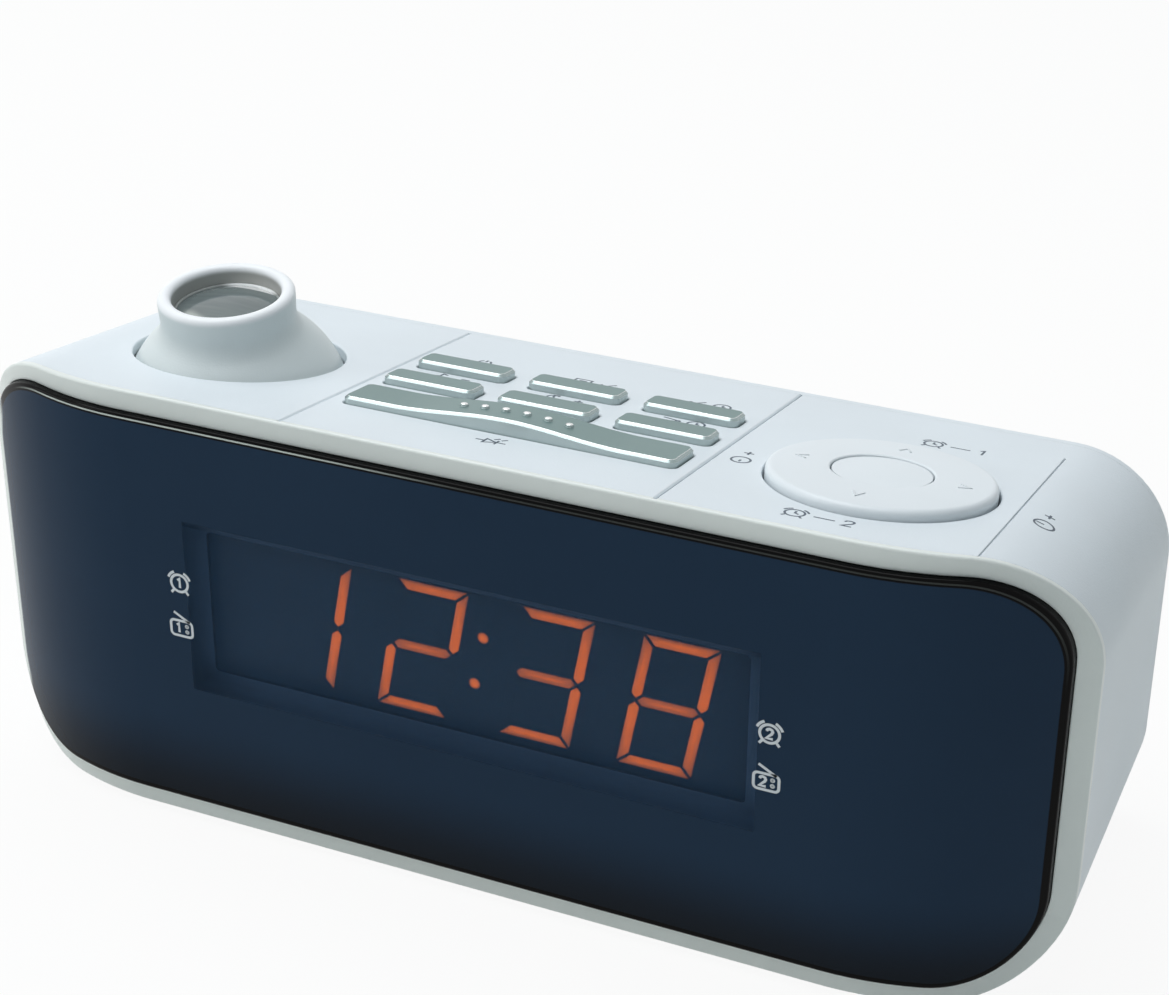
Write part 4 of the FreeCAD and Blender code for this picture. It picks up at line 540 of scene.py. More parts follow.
amber, tree, shader = blank_material("amber_light")
warmth = tree.nodes.new("ShaderNodeSeparateXYZ")
warmth_map = tree.nodes.new("ShaderNodeUVMap")
warmth_map.uv_map = "heat"
wire(tree, (warmth_map.outputs[0], warmth.inputs[0]))
speck = noise(tree, 1500.0, 2.0)
uneven = maths(tree, "SUBTRACT", speck.outputs["Fac"], 0.5)
warm = maths(tree, "MULTIPLY_ADD", uneven, 0.12, warmth.outputs["X"])
edge_share = spread(tree, warm, 0.02, 0.14)
dull = between(tree, edge_share, (0.002, 0.001, 0.001), (0.190, 0.052, 0.024))
glow = between(tree, spread(tree, warm, 0.15, 0.95), dull, (0.64, 0.122, 0.012))
resin = between(tree, edge_share, (0.002, 0.002, 0.002), (0.10, 0.04, 0.02))
wire(tree, (glow, shader.inputs["Emission Color"]), (resin, shader.inputs["Base Color"]))
shader.inputs["Emission Strength"].default_value = 5.2
shader.inputs["Roughness"].default_value = 0.5
light_bars = model("light_bars", "casing", amber, vertices, faces)
layer = light_bars.data.uv_layers.new(name="heat")
for corner in light_bars.data.loops:
    layer.data[corner.index].uv = (heat[corner.vertex_index], 0.5)
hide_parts("lit_bars")


# Smoked lens
# One polished moulding of dark blue acrylic covers the whole front. Its border is printed black,
# its back is painted round the display window, and it is bonded into the frame's seat.

LENS_HALF, LENS_LOW, LENS_HIGH, LENS_CORNER = 0.0914, 0.0046, 0.0746, 0.0154
LENS_MID, LENS_TALL = (LENS_LOW + LENS_HIGH) / 2, (LENS_HIGH - LENS_LOW) / 2
LENS_PROUD, FIELD_GROW, BLACK_BORDER = 0.0012, 0.0024, 0.0011


def lens_zones():
    """Masks of the lens: border, the painted highlight line in it, window, the clear field before it, the
    painted shade at its foot, the painted reflection at its left edge, and the front face."""
    group, start, end = effect(
        "lens_zones", [("Border", BLACK_BORDER)],
        [(label, "Float") for label in ("Rim", "Line", "Window", "Field", "Foot", "Left_reflection", "Front")])
    facing = group.nodes.new("ShaderNodeSeparateXYZ")
    wire(group, (group.nodes.new("ShaderNodeTexCoord").outputs["Normal"], facing.inputs[0]))
    x, y, z = axes(group)
    across = maths(group, "ABSOLUTE", x)

    def product(*values):
        result = values[0]
        for value in values[1:]:
            result = maths(group, "MULTIPLY", result, value)
        return result

    def height_from(middle):
        return maths(group, "ABSOLUTE", maths(group, "SUBTRACT", z, middle))

    def frame_of(grow, soft):
        """1 inside the window let out by a distance, with a soft edge from there."""
        half, tall = WINDOW_HALF + grow, WINDOW_TALL + grow
        rise = height_from(WINDOW_MID)
        return product(spread(group, across, half + soft, half), spread(group, rise, tall + soft, tall))

    over_x = maths(group, "SUBTRACT", across, LENS_HALF - LENS_CORNER)
    over_z = maths(group, "SUBTRACT", height_from(LENS_MID), LENS_TALL - LENS_CORNER)
    out_x = maths(group, "MAXIMUM", over_x, 0.0)
    out_z = maths(group, "MAXIMUM", over_z, 0.0)
    far = maths(group, "SQRT", maths(group, "MULTIPLY_ADD", out_x, out_x, product(out_z, out_z)))
    near = maths(group, "MINIMUM", maths(group, "MAXIMUM", over_x, over_z), 0.0)
    edge = maths(group, "SUBTRACT", maths(group, "ADD", far, near), LENS_CORNER)
    reach = maths(group, "ADD", edge, start.outputs["Border"])
    fading = maths(group, "MULTIPLY_ADD", spread(group, x, 0.004, -0.030), 0.92, 0.08)
    line = product(
        spread(group, reach, 0.00030, 0.00038), spread(group, reach, 0.00066, 0.00058),
        spread(group, z, 0.055, 0.070), spread(group, x, -0.084, -0.072), fading)
    glow = product(spread(group, reach, -0.0010, -0.0002), spread(group, x, -0.0880, -0.0900))
    wire(
        group,
        (spread(group, reach, -0.0001, 0.0001), end.inputs["Rim"]),
        (line, end.inputs["Line"]),
        (frame_of(-0.0001, 0.0002), end.inputs["Window"]),
        (frame_of(FIELD_GROW, 0.0002), end.inputs["Field"]),
        (glow, end.inputs["Left_reflection"]),
        (spread(group, z, LENS_LOW + 0.017, LENS_LOW), end.inputs["Foot"]),
        (spread(group, facing.outputs["Y"], 0.3, -0.3), end.inputs["Front"]))
    return group


smoked_lens, tree, shader = blank_material("smoked_lens")
zones = use(tree, lens_zones(), Border=BLACK_BORDER)
smear = noise(tree, 26.0, 4.0)
smear_share = spread(tree, smear.outputs["Fac"], 0.35, 0.7)
behind = maths(tree, "SUBTRACT", 1.0, zones.outputs["Front"])
# Painted shade darkens the foot of the lens, a painted highlight draws a pale line inside its border along
# the top, and a painted reflection lights its left edge.
tint = between(tree, smear_share, (0.0125, 0.0335, 0.0675), (0.0140, 0.0360, 0.0715))
tint = between(tree, zones.outputs["Foot"], tint, (0.0060, 0.0105, 0.0170))
tint = between(tree, zones.outputs["Rim"], tint, (0.0004, 0.0005, 0.0006))
tint = between(tree, zones.outputs["Line"], tint, (0.62, 0.66, 0.62))
tint = between(tree, zones.outputs["Left_reflection"], tint, (0.86, 0.90, 0.86))
see_back = maths(tree, "MULTIPLY", zones.outputs["Window"], behind)
see_front = maths(tree, "MULTIPLY", zones.outputs["Front"], zones.outputs["Field"])
see_through = maths(tree, "MULTIPLY_ADD", see_front, 0.45, see_back)
polish = maths(tree, "MULTIPLY_ADD", smear_share, 0.03, 0.045)
coat(tree, shader, tint, behind, 0.70, polish)
wire(tree, (maths(tree, "SUBTRACT", 1.0, see_through), shader.inputs["Alpha"]))
shader.inputs["IOR"].default_value = 1.49
shader.inputs["Specular IOR Level"].default_value = 0.07
dress(smoked_lens, "front_lens")


# Printed mask in the lens
# A thin film with the window cut out of it is laid into the back of the lens, round the display.
# It keeps the light of the digits to the window.

MASK_FRONT, MASK_THICK, MASK_WIDTH = FRONT_Y + 0.00160, 0.00008, 0.0068

vertices = []
for y in (MASK_FRONT, MASK_FRONT + MASK_THICK):
    for grow in (0.0, MASK_WIDTH):
        vertices += [(x, y, z) for x, z in window_outline(grow, WINDOW_CORNER + grow)]
faces = []
for first, second in ((0, 1), (2, 3), (0, 2), (1, 3)):
    faces += bridge(first * OUTLINE, second * OUTLINE, OUTLINE)
mask_ink, tree, shader = blank_material("mask_ink")
cloud = noise(tree, 700.0, 3.0)
x, y, z = axes(tree)
# Painted light and shade: the ink is darker near the window and along its top edge, where more light reaches
# it through the lens, and paler further out, where the lens shades it.
past_side = maths(tree, "SUBTRACT", maths(tree, "ABSOLUTE", x), WINDOW_HALF)
past_foot = maths(tree, "SUBTRACT", WINDOW_LOW, z)
past_top = maths(tree, "SUBTRACT", z, WINDOW_HIGH)
past = maths(tree, "MAXIMUM", past_side, maths(tree, "MAXIMUM", past_foot, past_top))
past = maths(tree, "MULTIPLY_ADD", cloud.outputs["Fac"], 0.0006, past)
light_balancing_gradient = between(tree, spread(tree, past, 0.0003, 0.0039), (0.072, 0.146, 0.280), (0.150, 0.300, 0.560))
top_light_balancing = between(tree, cloud.outputs["Fac"], (0.052, 0.103, 0.195), (0.064, 0.125, 0.235))
tone = between(tree, spread(tree, past_top, -0.0002, 0.0002), light_balancing_gradient, top_light_balancing)
coat(tree, shader, tone, cloud.outputs["Fac"], 0.1, 0.70)
model("lens_mask", "casing", mask_ink, vertices, faces)


# Symbols printed on the lens
# Two alarm clocks and two radios with their numbers are screen printed in white, at the left
# and right of the window.

def ring(u, v, radius, start=0.0, turn=360.0, steps=20):
    """Points of an arc in millimetres, starting at an angle and turning by another."""
    points = []
    for step in range(steps + 1):
        angle = math.radians(start + turn * step / steps)
        points.append((u + radius * math.cos(angle), v + radius * math.sin(angle)))
    return points


def moved(lines, u, v, size=1.0, turn=0.0):
    """Strokes made larger, turned and set at a place."""
    c, s = math.cos(math.radians(turn)), math.sin(math.radians(turn))
    return [[(u + size * (c * a - s * b), v + size * (s * a + c * b)) for a, b in line] for line in lines]


def stroke_ring(points, closed, half):
    """The two sides of a stroke, with mitred corners."""
    sides = []
    count = len(points)
    for i, point in enumerate(points):
        if closed:
            before, after = points[(i - 1) % count], points[(i + 1) % count]
        else:
            before, after = points[max(i - 1, 0)], points[min(i + 1, count - 1)]
        here = Vector(point)
        first, second = here - Vector(before), Vector(after) - here
        if first.length < 1e-9:
            first = second
        if second.length < 1e-9:
            second = first
        along = (first.normalized() + second.normalized())
        if along.length < 1e-6:
            along = first
        along.normalize()
        mitre = max(0.6, along.dot(first.normalized()))
        across = Vector((-along.y, along.x)) * (half / mitre)
        sides.append((here + across, here - across))
    return sides


def ink(name, body, material, lines, width, thick, place):
    """Raised ink: each stroke is a closed strip of its own width and thickness."""
    vertices = []
    faces = []
    for line in lines:
        closed = (Vector(line[0]) - Vector(line[-1])).length < 1e-6 and len(line) > 3
        points = line[:-1] if closed else line
        start = len(vertices)
        for left, right in stroke_ring(points, closed, width / 2):
            for spot, lift in ((left, thick), (right, thick), (right, 0.0), (left, 0.0)):
                vertices.append(place(spot.x, spot.y, lift))
        count = len(points)
        for i in range(count if closed else count - 1):
            here, there = start + 4 * i, start + 4 * ((i + 1) % count)
            for k in range(4):
                faces.append((here + k, here + (k + 1) % 4, there + (k + 1) % 4, there + k))
        if not closed:
            last = start + 4 * (count - 1)
            faces += [(start, start + 1, start + 2, start + 3), (last + 3, last + 2, last + 1, last)]
    return model(name, body, material, vertices, faces)


FIGURES = {
    1: [[(-0.34, 0.50), (0.06, 0.82), (0.06, -0.82)]],
    2: [[(-0.48, 0.42), (-0.34, 0.72), (0.0, 0.84), (0.36, 0.70), (0.48, 0.40), (0.32, 0.02),
         (-0.50, -0.80), (0.52, -0.80)]],
}


def alarm_symbol(number):
    """Clock face with two bells and two feet round a figure."""
    lines = [ring(0, 0, 1.55, steps=28)] + FIGURES[number]
    for side in (0, 1):
        lines.append(ring(0, 0, 2.15, 22 + side * 92, 44, 6))
        x = 1 - 2 * side
        lines.append([(x * 1.15, -1.35), (x * 1.6, -1.9)])
    return lines


def radio_symbol(number):
    """Rounded case with a slanted aerial, a figure and two dots."""
    case = []
    for turn, (u, v) in enumerate(((1.35, 0.75), (-1.35, 0.75), (-1.35, -0.75), (1.35, -0.75))):
        case += ring(u, v, 0.65, 90 * turn, 90, 4)
    case.append(case[0])
    lines = [case, [(1.6, 1.3), (-1.3, 2.9)]] + moved(FIGURES[number], -0.55, 0.0)
    return lines + [ring(1.0, 0.5, 0.16, steps=8), ring(1.0, -0.5, 0.16, steps=8)]


white_ink = moulding("white_ink", (0.74, 0.77, 0.80), 0.5, grain=0.0002, depth=0.1, pale=0.02)
MM = 0.001
LENS_LINE, LENS_INK = 0.46, 0.009


def lens_place(u, v, lift):
    return Vector((u * MM, FRONT_Y - LENS_PROUD - lift * MM, v * MM))


for name, lines, u, v in (
        ("alarm_one_print", alarm_symbol(1), -50.1, 46.3), ("radio_one_print", radio_symbol(1), -50.3, 37.9),
        ("alarm_two_print", alarm_symbol(2), 50.6, 44.6), ("radio_two_print", radio_symbol(2), 50.4, 36.2)):
    ink(name, "casing", white_ink, moved(lines, u, v), LENS_LINE, LENS_INK, lens_place)


# Keys and snooze bar
# Each key is moulded, then sprayed with silver paint. Its top is painted darker as shade and its sides paler
# as light, and a painted highlight runs along the bevel round its top.

TOP_TILT = math.atan2(0.0112, 0.068)
TOP_UP = Vector((0, math.sin(TOP_TILT), math.cos(TOP_TILT)))


def key_light_and_shade():
    """Masks of a key for its painted light and shade: its flat top, the bevel round it, and the line between
    them, where a highlight is painted.
    """
    group, start, end = effect(
        "key_light_and_shade", [("Width", 0.0003)], [("Top", "Float"), ("Bevel", "Float"), ("Line", "Float")])
    flat = group.nodes.new("ShaderNodeNewGeometry")
    rounded = group.nodes.new("ShaderNodeBevel")
    rounded.samples = 6
    wire(group, (start.outputs["Width"], rounded.inputs["Radius"]))
    level = dot(group, flat.outputs["Normal"], TOP_UP)
    soft_level = dot(group, rounded.outputs["Normal"], TOP_UP)
    top = spread(group, level, 0.86, 0.92)
    bevel = maths(group, "MULTIPLY", spread(group, level, 0.35, 0.55), spread(group, level, 0.92, 0.86))
    lift = spread(group, maths(group, "SUBTRACT", soft_level, level), 0.02, 0.10)
    wire(
        group, (top, end.inputs["Top"]), (bevel, end.inputs["Bevel"]),
        (maths(group, "MULTIPLY", bevel, lift), end.inputs["Line"]))
    return group


silver_key, tree, shader = blank_material("silver_key")
key_shading_masks = use(tree, key_light_and_shade(), Width=0.0002)
flake = use(tree, GRAIN, Size=0.00012)
turned = use(tree, EDGE, Radius=0.00015)
# The top is painted darker as shade, the sides paler as light, and the line at the top of the bevel white as
# a painted highlight; the flake in the top is the paint's own.
shaded_top_tone = between(tree, flake.outputs["Height"], (0.135, 0.215, 0.215), (0.195, 0.290, 0.285))
shaded_top_tone = between(tree, flake.outputs["Drift"], shaded_top_tone, (0.150, 0.235, 0.230))
tone = between(tree, key_shading_masks.outputs["Top"], (0.44, 0.51, 0.51), shaded_top_tone)
tone = between(tree, key_shading_masks.outputs["Bevel"], tone, (0.30, 0.37, 0.37))
tone = between(tree, key_shading_masks.outputs["Line"], tone, (0.95, 0.97, 0.96))
coat(tree, shader, tone, key_shading_masks.outputs["Bevel"], -0.12, 0.38)
raise_grain(tree, shader, flake.outputs["Height"], 0.00012, 0.10, turned.outputs["Normal"])
shader.inputs["Metallic"].default_value = 0.75
KEYS = [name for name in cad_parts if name.startswith(("key_front_", "key_rear_"))]
dress(silver_key, "snooze_bar", *KEYS)

CREASE_HEIGHT, ABOVE_ALL = 0.0782, 30.0
BAR_BACK, PIPS, PIP_PITCH, PIP_ROUND = 19.7, 6, 3.6, 16
PIP_SECTION = ((0.62, 0.0), (0.60, 0.07), (0.46, 0.14), (0.22, 0.18))


def top_place(x, back, height):
    """A point over the sloping top, from its place across, back from the crease and above it."""
    return Vector((
        x * MM,
        FRONT_Y + (back * math.cos(TOP_TILT) + height * math.sin(TOP_TILT)) * MM,
        CREASE_HEIGHT + (height * math.cos(TOP_TILT) - back * math.sin(TOP_TILT)) * MM))


def onto(node, x, back, lift):
    """Drop a point onto a carried node from above the sloping top."""
    hit, place, normal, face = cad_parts[node].ray_cast(top_place(x, back, ABOVE_ALL), -TOP_UP)
    return place + normal * (lift * MM)


vertices = []
faces = []
for number in range(PIPS):
    crown = onto("snooze_bar", (number - (PIPS - 1) / 2) * PIP_PITCH, BAR_BACK, 0.0)
    start = len(vertices)
    for radius, rise in PIP_SECTION:
        for u, v in circle(radius, PIP_ROUND):
            vertices.append(crown + Vector((u * MM, 0, 0)) + TOP_UP * (rise * MM)
                            + TOP_UP.cross(Vector((1, 0, 0))) * (v * MM))
    last = start + PIP_ROUND * (len(PIP_SECTION) - 1)
    for ring_start in range(start, last, PIP_ROUND):
        faces += bridge(ring_start, ring_start + PIP_ROUND, PIP_ROUND)
    faces += [tuple(range(start, start + PIP_ROUND)), tuple(range(last, last + PIP_ROUND))]
# The pip caps are bright metal, made paler still as a painted highlight against the bar's painted shade.
highlit_pip = plated("highlit_pip", (0.88, 0.90, 0.90), 0.22, 1500.0)
model("snooze_pip_caps", "snooze_bar", highlit_pip, vertices, faces, smooth=True)


# Switches under the keys
# Square push switches with round plungers are soldered to the boards below the keys and the
# pad. Their bodies are black moulded resin.

switch_black = moulding("switch_black", (0.030, 0.030, 0.033), 0.45, grain=0.0003, depth=0.1, pale=0.02)
dress(switch_black, "key_switches", "dial_switches")


# Four-way pad
# A disc of warm white satin plastic with raised arrows at its four sides. It rocks on a gimbal
# ring, and a round button slides in its hub.

pad_white = moulding("pad_white", (0.80, 0.85, 0.88), 0.38, grain=0.0003, depth=0.06, pale=0.06)
dress(pad_white, "dial_pad", "dial_button")
black_plastic = moulding("black_plastic", (0.020, 0.020, 0.022), 0.45, grain=0.0004, depth=0.15, pale=0.02)
dress(black_plastic, "dial_ring", "dial_carrier", "projector_cradle", "lens_barrel", "power_inlet")

PAD_X, PAD_BACK, PAD_BITE = 56.6, 28.0, 0.02
ARROW_REACH, ARROW_LINE, ARROW_RISE = 12.8, 0.34, 0.12
ARROW = [[(-0.95, -0.9), (0.75, 0.0), (-0.95, 0.9)]]


def pad_place(u, v, lift):
    return onto("dial_pad", PAD_X + u, PAD_BACK + v, lift - PAD_BITE)


arrows = []
for turn in (0, 90, 180, 270):
    angle = math.radians(turn)
    arrows += moved(ARROW, ARROW_REACH * math.cos(angle), ARROW_REACH * math.sin(angle), 1.0, turn)
ink("pad_arrows", "dial_pad", pad_white, arrows, ARROW_LINE, ARROW_RISE, pad_place)


# Projector
# The ball and its collar are one hollow moulding, tilted by hand on two trunnions. In the collar a
# clear lens rests on its seat under a thin retaining ring, with the barrel, slide and lamp below.

HEAD_LEAN = math.radians(4.4)
HEAD_CENTRE = top_place(-56.0, 30.4, -9.5)
HEAD_UP = Vector((0, -math.sin(HEAD_LEAN), math.cos(HEAD_LEAN)))
HEAD_BACK = HEAD_UP.cross(Vector((1, 0, 0)))


def head_zones():
    """Height along the head's axis, distance from it and place to the back of it, in millimetres."""
    group, start, end = effect(
        "head_zones", [("Scale", 1000.0)], [("Height", "Float"), ("Radius", "Float"), ("Back", "Float")])
    where = group.nodes.new("ShaderNodeTexCoord")
    offset = group.nodes.new("ShaderNodeVectorMath")
    offset.operation = "SUBTRACT"
    offset.inputs[1].default_value = HEAD_CENTRE
    wire(group, (where.outputs["Object"], offset.inputs[0]))
    height, back, side = (
        maths(group, "MULTIPLY", dot(group, offset.outputs["Vector"], way), start.outputs["Scale"])
        for way in (HEAD_UP, HEAD_BACK, Vector((1, 0, 0))))
    side_squared = maths(group, "MULTIPLY", side, side)
    radius = maths(group, "SQRT", maths(group, "MULTIPLY_ADD", back, back, side_squared))
    wire(group, (height, end.inputs["Height"]), (radius, end.inputs["Radius"]), (back, end.inputs["Back"]))
    return group


HEAD_ZONES = head_zones()
head_white, tree, shader = blank_material("head_white")
texture = use(tree, GRAIN, Size=0.0003)
turned = use(tree, EDGE, Radius=0.0003)
zones = use(tree, HEAD_ZONES, Scale=1000.0)
# Painted shade darkens the bore inside the collar, and painted highlights lighten the collar's lip and the
# turned edges.
clear_of_bore_shade = spread(tree, zones.outputs["Radius"], 9.3, 9.8)
lip = spread(tree, zones.outputs["Height"], 20.4, 21.3)
tone = between(tree, texture.outputs["Drift"], (0.680, 0.740, 0.740), (0.705, 0.765, 0.770))
tone = between(tree, clear_of_bore_shade, (0.50, 0.50, 0.48), tone)
tone = between(tree, lip, tone, (0.93, 0.95, 0.97))
tone = between(tree, turned.outputs["Mask"], tone, (0.90, 0.93, 0.94))
coat(tree, shader, tone, texture.outputs["Drift"], 0.06, 0.39)
raise_grain(tree, shader, texture.outputs["Height"], 0.0003, 0.08, turned.outputs["Normal"])
dress(head_white, "projector_head")

lens_glass, tree, shader = blank_material("lens_glass")
streak = noise(tree, 120.0, 3.0, (0.35, 2.2, 1.0))
share = spread(tree, streak.outputs["Fac"], 0.30, 0.75)
zones = use(tree, HEAD_ZONES, Scale=1000.0)
inner = spread(tree, zones.outputs["Radius"], 4.6, 6.2)
outer = spread(tree, zones.outputs["Radius"], 7.6, 6.4)
front = spread(tree, zones.outputs["Back"], -2.6, -5.6)
crescent_highlight = maths(tree, "MULTIPLY", maths(tree, "MULTIPLY", inner, outer), front)
# The crescent at the front of the glass is a painted highlight, and the near white band at its back edge is
# another.
tone = between(tree, share, (0.180, 0.220, 0.225), (0.270, 0.320, 0.315))
tone = between(tree, crescent_highlight, tone, (0.70, 0.76, 0.70))
tone = between(tree, spread(tree, zones.outputs["Back"], 6.95, 7.15), tone, (0.97, 0.98, 0.98))
coat(tree, shader, tone, share, 0.04, 0.03)
shader.inputs["Transmission Weight"].default_value = 0.35
shader.inputs["IOR"].default_value = 1.49
dress(lens_glass, "projection_lens")

RING_SECTION = ((8.97, 18.30), (8.97, 18.66), (8.90, 18.80), (8.62, 18.78), (8.46, 18.62), (8.42, 18.30))
RING_ROUND = 72
vertices = []
for radius, height in RING_SECTION:
    for u, v in circle(radius, RING_ROUND):
        vertices.append(HEAD_CENTRE + (Vector((u, 0, 0)) + HEAD_BACK * v + HEAD_UP * height) * MM)
faces = []
for step in range(len(RING_SECTION)):
    faces += bridge(RING_ROUND * step, RING_ROUND * ((step + 1) % len(RING_SECTION)), RING_ROUND)
ring_clear, tree, shader = blank_material("retaining_ring")
zones = use(tree, HEAD_ZONES, Scale=1000.0)
haze = noise(tree, 900.0, 2.0)
tone = between(tree, haze.outputs["Fac"], (0.25, 0.27, 0.27), (0.38, 0.41, 0.40))
# The back of the ring is painted near white as a highlight.
tone = between(tree, spread(tree, zones.outputs["Back"], 6.6, 8.0), tone, (0.96, 0.98, 0.98))
coat(tree, shader, tone, haze.outputs["Fac"], 0.1, 0.10)
model("retaining_ring", "projector_head", ring_clear, vertices, faces, smooth=True)

slide_glass, tree, shader = blank_material("slide_glass")
mesh_lines = tree.nodes.new("ShaderNodeTexBrick")
mesh_lines.inputs["Scale"].default_value = 700.0
mesh_lines.inputs["Mortar Size"].default_value = 0.05
wire(tree, (tree.nodes.new("ShaderNodeTexCoord").outputs["Object"], mesh_lines.inputs["Vector"]))
tone = between(tree, mesh_lines.outputs["Fac"], (0.05, 0.055, 0.06), (0.10, 0.11, 0.12))
coat(tree, shader, tone, mesh_lines.outputs["Fac"], 0.1, 0.12)
dress(slide_glass, "picture_slide")


# Speaker behind the grille
# A pressed steel basket, black lacquered, holds a paper cone and a ferrite magnet. It is clamped
# inside a locating ring of the back cover.

dress(plated("speaker_steel", (0.055, 0.055, 0.058), 0.42, 500.0, (1.0, 1.0, 0.3)), "speaker_frame")
cone_paper, tree, shader = blank_material("speaker_paper")
fibre = noise(tree, 1400.0, 5.0, (1.0, 1.0, 0.25))
dust = noise(tree, 60.0, 3.0)
share = spread(tree, fibre.outputs["Fac"], 0.3, 0.7)
tone = between(tree, share, (0.016, 0.016, 0.017), (0.040, 0.039, 0.038))
tone = between(tree, spread(tree, dust.outputs["Fac"], 0.5, 0.8), tone, (0.055, 0.053, 0.050))
coat(tree, shader, tone, share, 0.1, 0.80)
raise_grain(tree, shader, fibre.outputs["Fac"], 0.0002, 0.6)
dress(cone_paper, "speaker_cone")
ferrite = moulding("ferrite", (0.055, 0.055, 0.060), 0.62, grain=0.0005, depth=0.4, pale=0.04)
dress(ferrite, "speaker_magnet")


# Main board and memory cell
# The board carries capacitors in printed sleeves and moulded chips. A steel button cell keeps the
# time in its well above the battery door, held by two nickel plated strips.

can_sleeve = moulding("can_sleeve", (0.030, 0.050, 0.150), 0.32, grain=0.0009, depth=0.05, pale=0.10)
dress(can_sleeve, "board_capacitors")
chip_resin = moulding("chip_resin", (0.022, 0.022, 0.023), 0.68, grain=0.0003, depth=0.35, pale=0.03)
dress(chip_resin, "board_chips")
dress(plated("cell_steel", (0.66, 0.66, 0.67), 0.24, 400.0, (0.15, 1.0, 1.0)), "coin_cell")
dress(plated("spring_nickel", (0.70, 0.67, 0.60), 0.28, 500.0, (1.0, 0.2, 1.0)), "cell_contacts")


# Marks printed on the top
# Small slate grey symbols are pad printed behind the keys, before the bar and round the pad. They
# are set down on the moulding itself, so they follow its shoulder at the right.

slate_ink = moulding("slate_ink", (0.085, 0.115, 0.150), 0.55, grain=0.0002, depth=0.1, pale=0.01)
PANEL_HALF = 31


def fine_steps(lines, longest=0.5):
    """Long strokes cut into short ones, so that they can follow a curve."""
    cut = []
    for line in lines:
        points = [line[0]]
        for start, end in zip(line, line[1:]):
            steps = max(1, math.ceil((Vector(end) - Vector(start)).length / longest))
            points += [tuple(Vector(start).lerp(Vector(end), i / steps)) for i in range(1, steps + 1)]
        cut.append(points)
    return cut


def shell_place(u, v, lift):
    return onto("key_panel" if abs(u) < PANEL_HALF else "main_case", u, v, lift)


def clock_symbol(*hands):
    return [ring(0, 0, 1.5, steps=24)] + [[(0, 0), hand] for hand in hands]


PLUS = [[(-0.8, 0.0), (0.8, 0.0)], [(0.0, -0.8), (0.0, 0.8)]]
MINUS = [[(-0.8, 0.0), (0.8, 0.0)]]
POWER = [ring(0, 0, 1.1, 120, 300, 16), [(0, 0.3), (0, 1.4)]]
CARD = [[(-1.5, 0.9), (1.5, 0.9), (1.5, -0.9), (-1.5, -0.9), (-1.5, 0.9)], [(-0.7, 0.0), (0.7, 0.0)]]
TICK = [[(-1.2, 0.1), (-0.3, -0.8), (1.4, 1.0)]]
MOON = [ring(0, 0, 1.15, 50, 260, 16), ring(0.62, 0.48, 0.82, 85, 150, 10)]
NOTE = [ring(-0.5, -0.7, 0.4, steps=10), [(-0.1, -0.7), (-0.1, 1.2), (0.9, 0.7)]]
BEAM = [[(-1.5, 0.9), (1.0, 0.3)], [(-1.5, -0.9), (1.0, -0.3)], ring(1.4, 0.0, 0.35, steps=8)]
LAMP = [[(-1.1, 1.0), (-1.1, -1.0), (0.8, 0.0), (-1.1, 1.0)], [(0.9, 1.0), (0.9, -1.0)],
        [(-2.6, 0.0), (-1.1, 0.0)], [(0.9, 0.0), (2.4, 0.0)],
        [(0.0, 1.1), (0.7, 1.9)], [(1.2, 1.2), (1.9, 2.0)]]
DASH = [[(-1.6, 0.0), (1.6, 0.0)]]
HANDS = (0, 0.9), (0.6, 0)
KEY_PITCH, KEY_ROWS, BEHIND_KEY, LAMP_BACK = 20.4, (31.8, 43.7), 7.1, 11.0
SYMBOL_SIZE, SYMBOL_PITCH, MARK_LINE, MARK_INK = 0.95, 4.4, 0.36, 0.012

marks = []
for row, pairs in zip(KEY_ROWS, (
        ((NOTE, MINUS), (MOON, PLUS), (BEAM, clock_symbol(*HANDS))),
        ((POWER,), (CARD, TICK), (TICK, clock_symbol(*HANDS))))):
    for column, symbols in zip((-1, 0, 1), pairs):
        for place, symbol in enumerate(symbols):
            shift = (place - (len(symbols) - 1) / 2) * SYMBOL_PITCH
            marks += moved(symbol, column * KEY_PITCH + shift, row + BEHIND_KEY, SYMBOL_SIZE)
marks += moved(LAMP, 0.0, LAMP_BACK)
ink("panel_marks", "casing", slate_ink, fine_steps(marks), MARK_LINE, MARK_INK, shell_place)

ALARM = alarm_symbol(1)[:1] + [[(0, 0.9), (0, 0), (0.7, -0.4)]] + alarm_symbol(1)[2:]
marks = []
for number, u, v in ((1, 4.6, 24.6), (2, -3.0, -21.3)):
    marks += moved(ALARM, PAD_X + u - 3.4, PAD_BACK + v, SYMBOL_SIZE)
    marks += moved(DASH, PAD_X + u + 1.0, PAD_BACK + v)
    marks += moved(FIGURES[number], PAD_X + u + 4.6, PAD_BACK + v, 1.5)
for u, hand in ((-21.6, (-0.9, 0.0)), (25.4, (0.0, 1.2))):
    marks += moved(clock_symbol(hand), PAD_X + u, PAD_BACK - 2.2, 1.0, 90)
    marks += moved(PLUS, PAD_X + u, PAD_BACK + 1.6, 1.0, 90)
ink("casing_marks", "casing", slate_ink, fine_steps(marks), MARK_LINE, MARK_INK, shell_place)


# Studio
# A pale floor that keeps the object's shadow, a white backdrop for the camera and for reflections,
# one wide soft light overhead and a little fill.

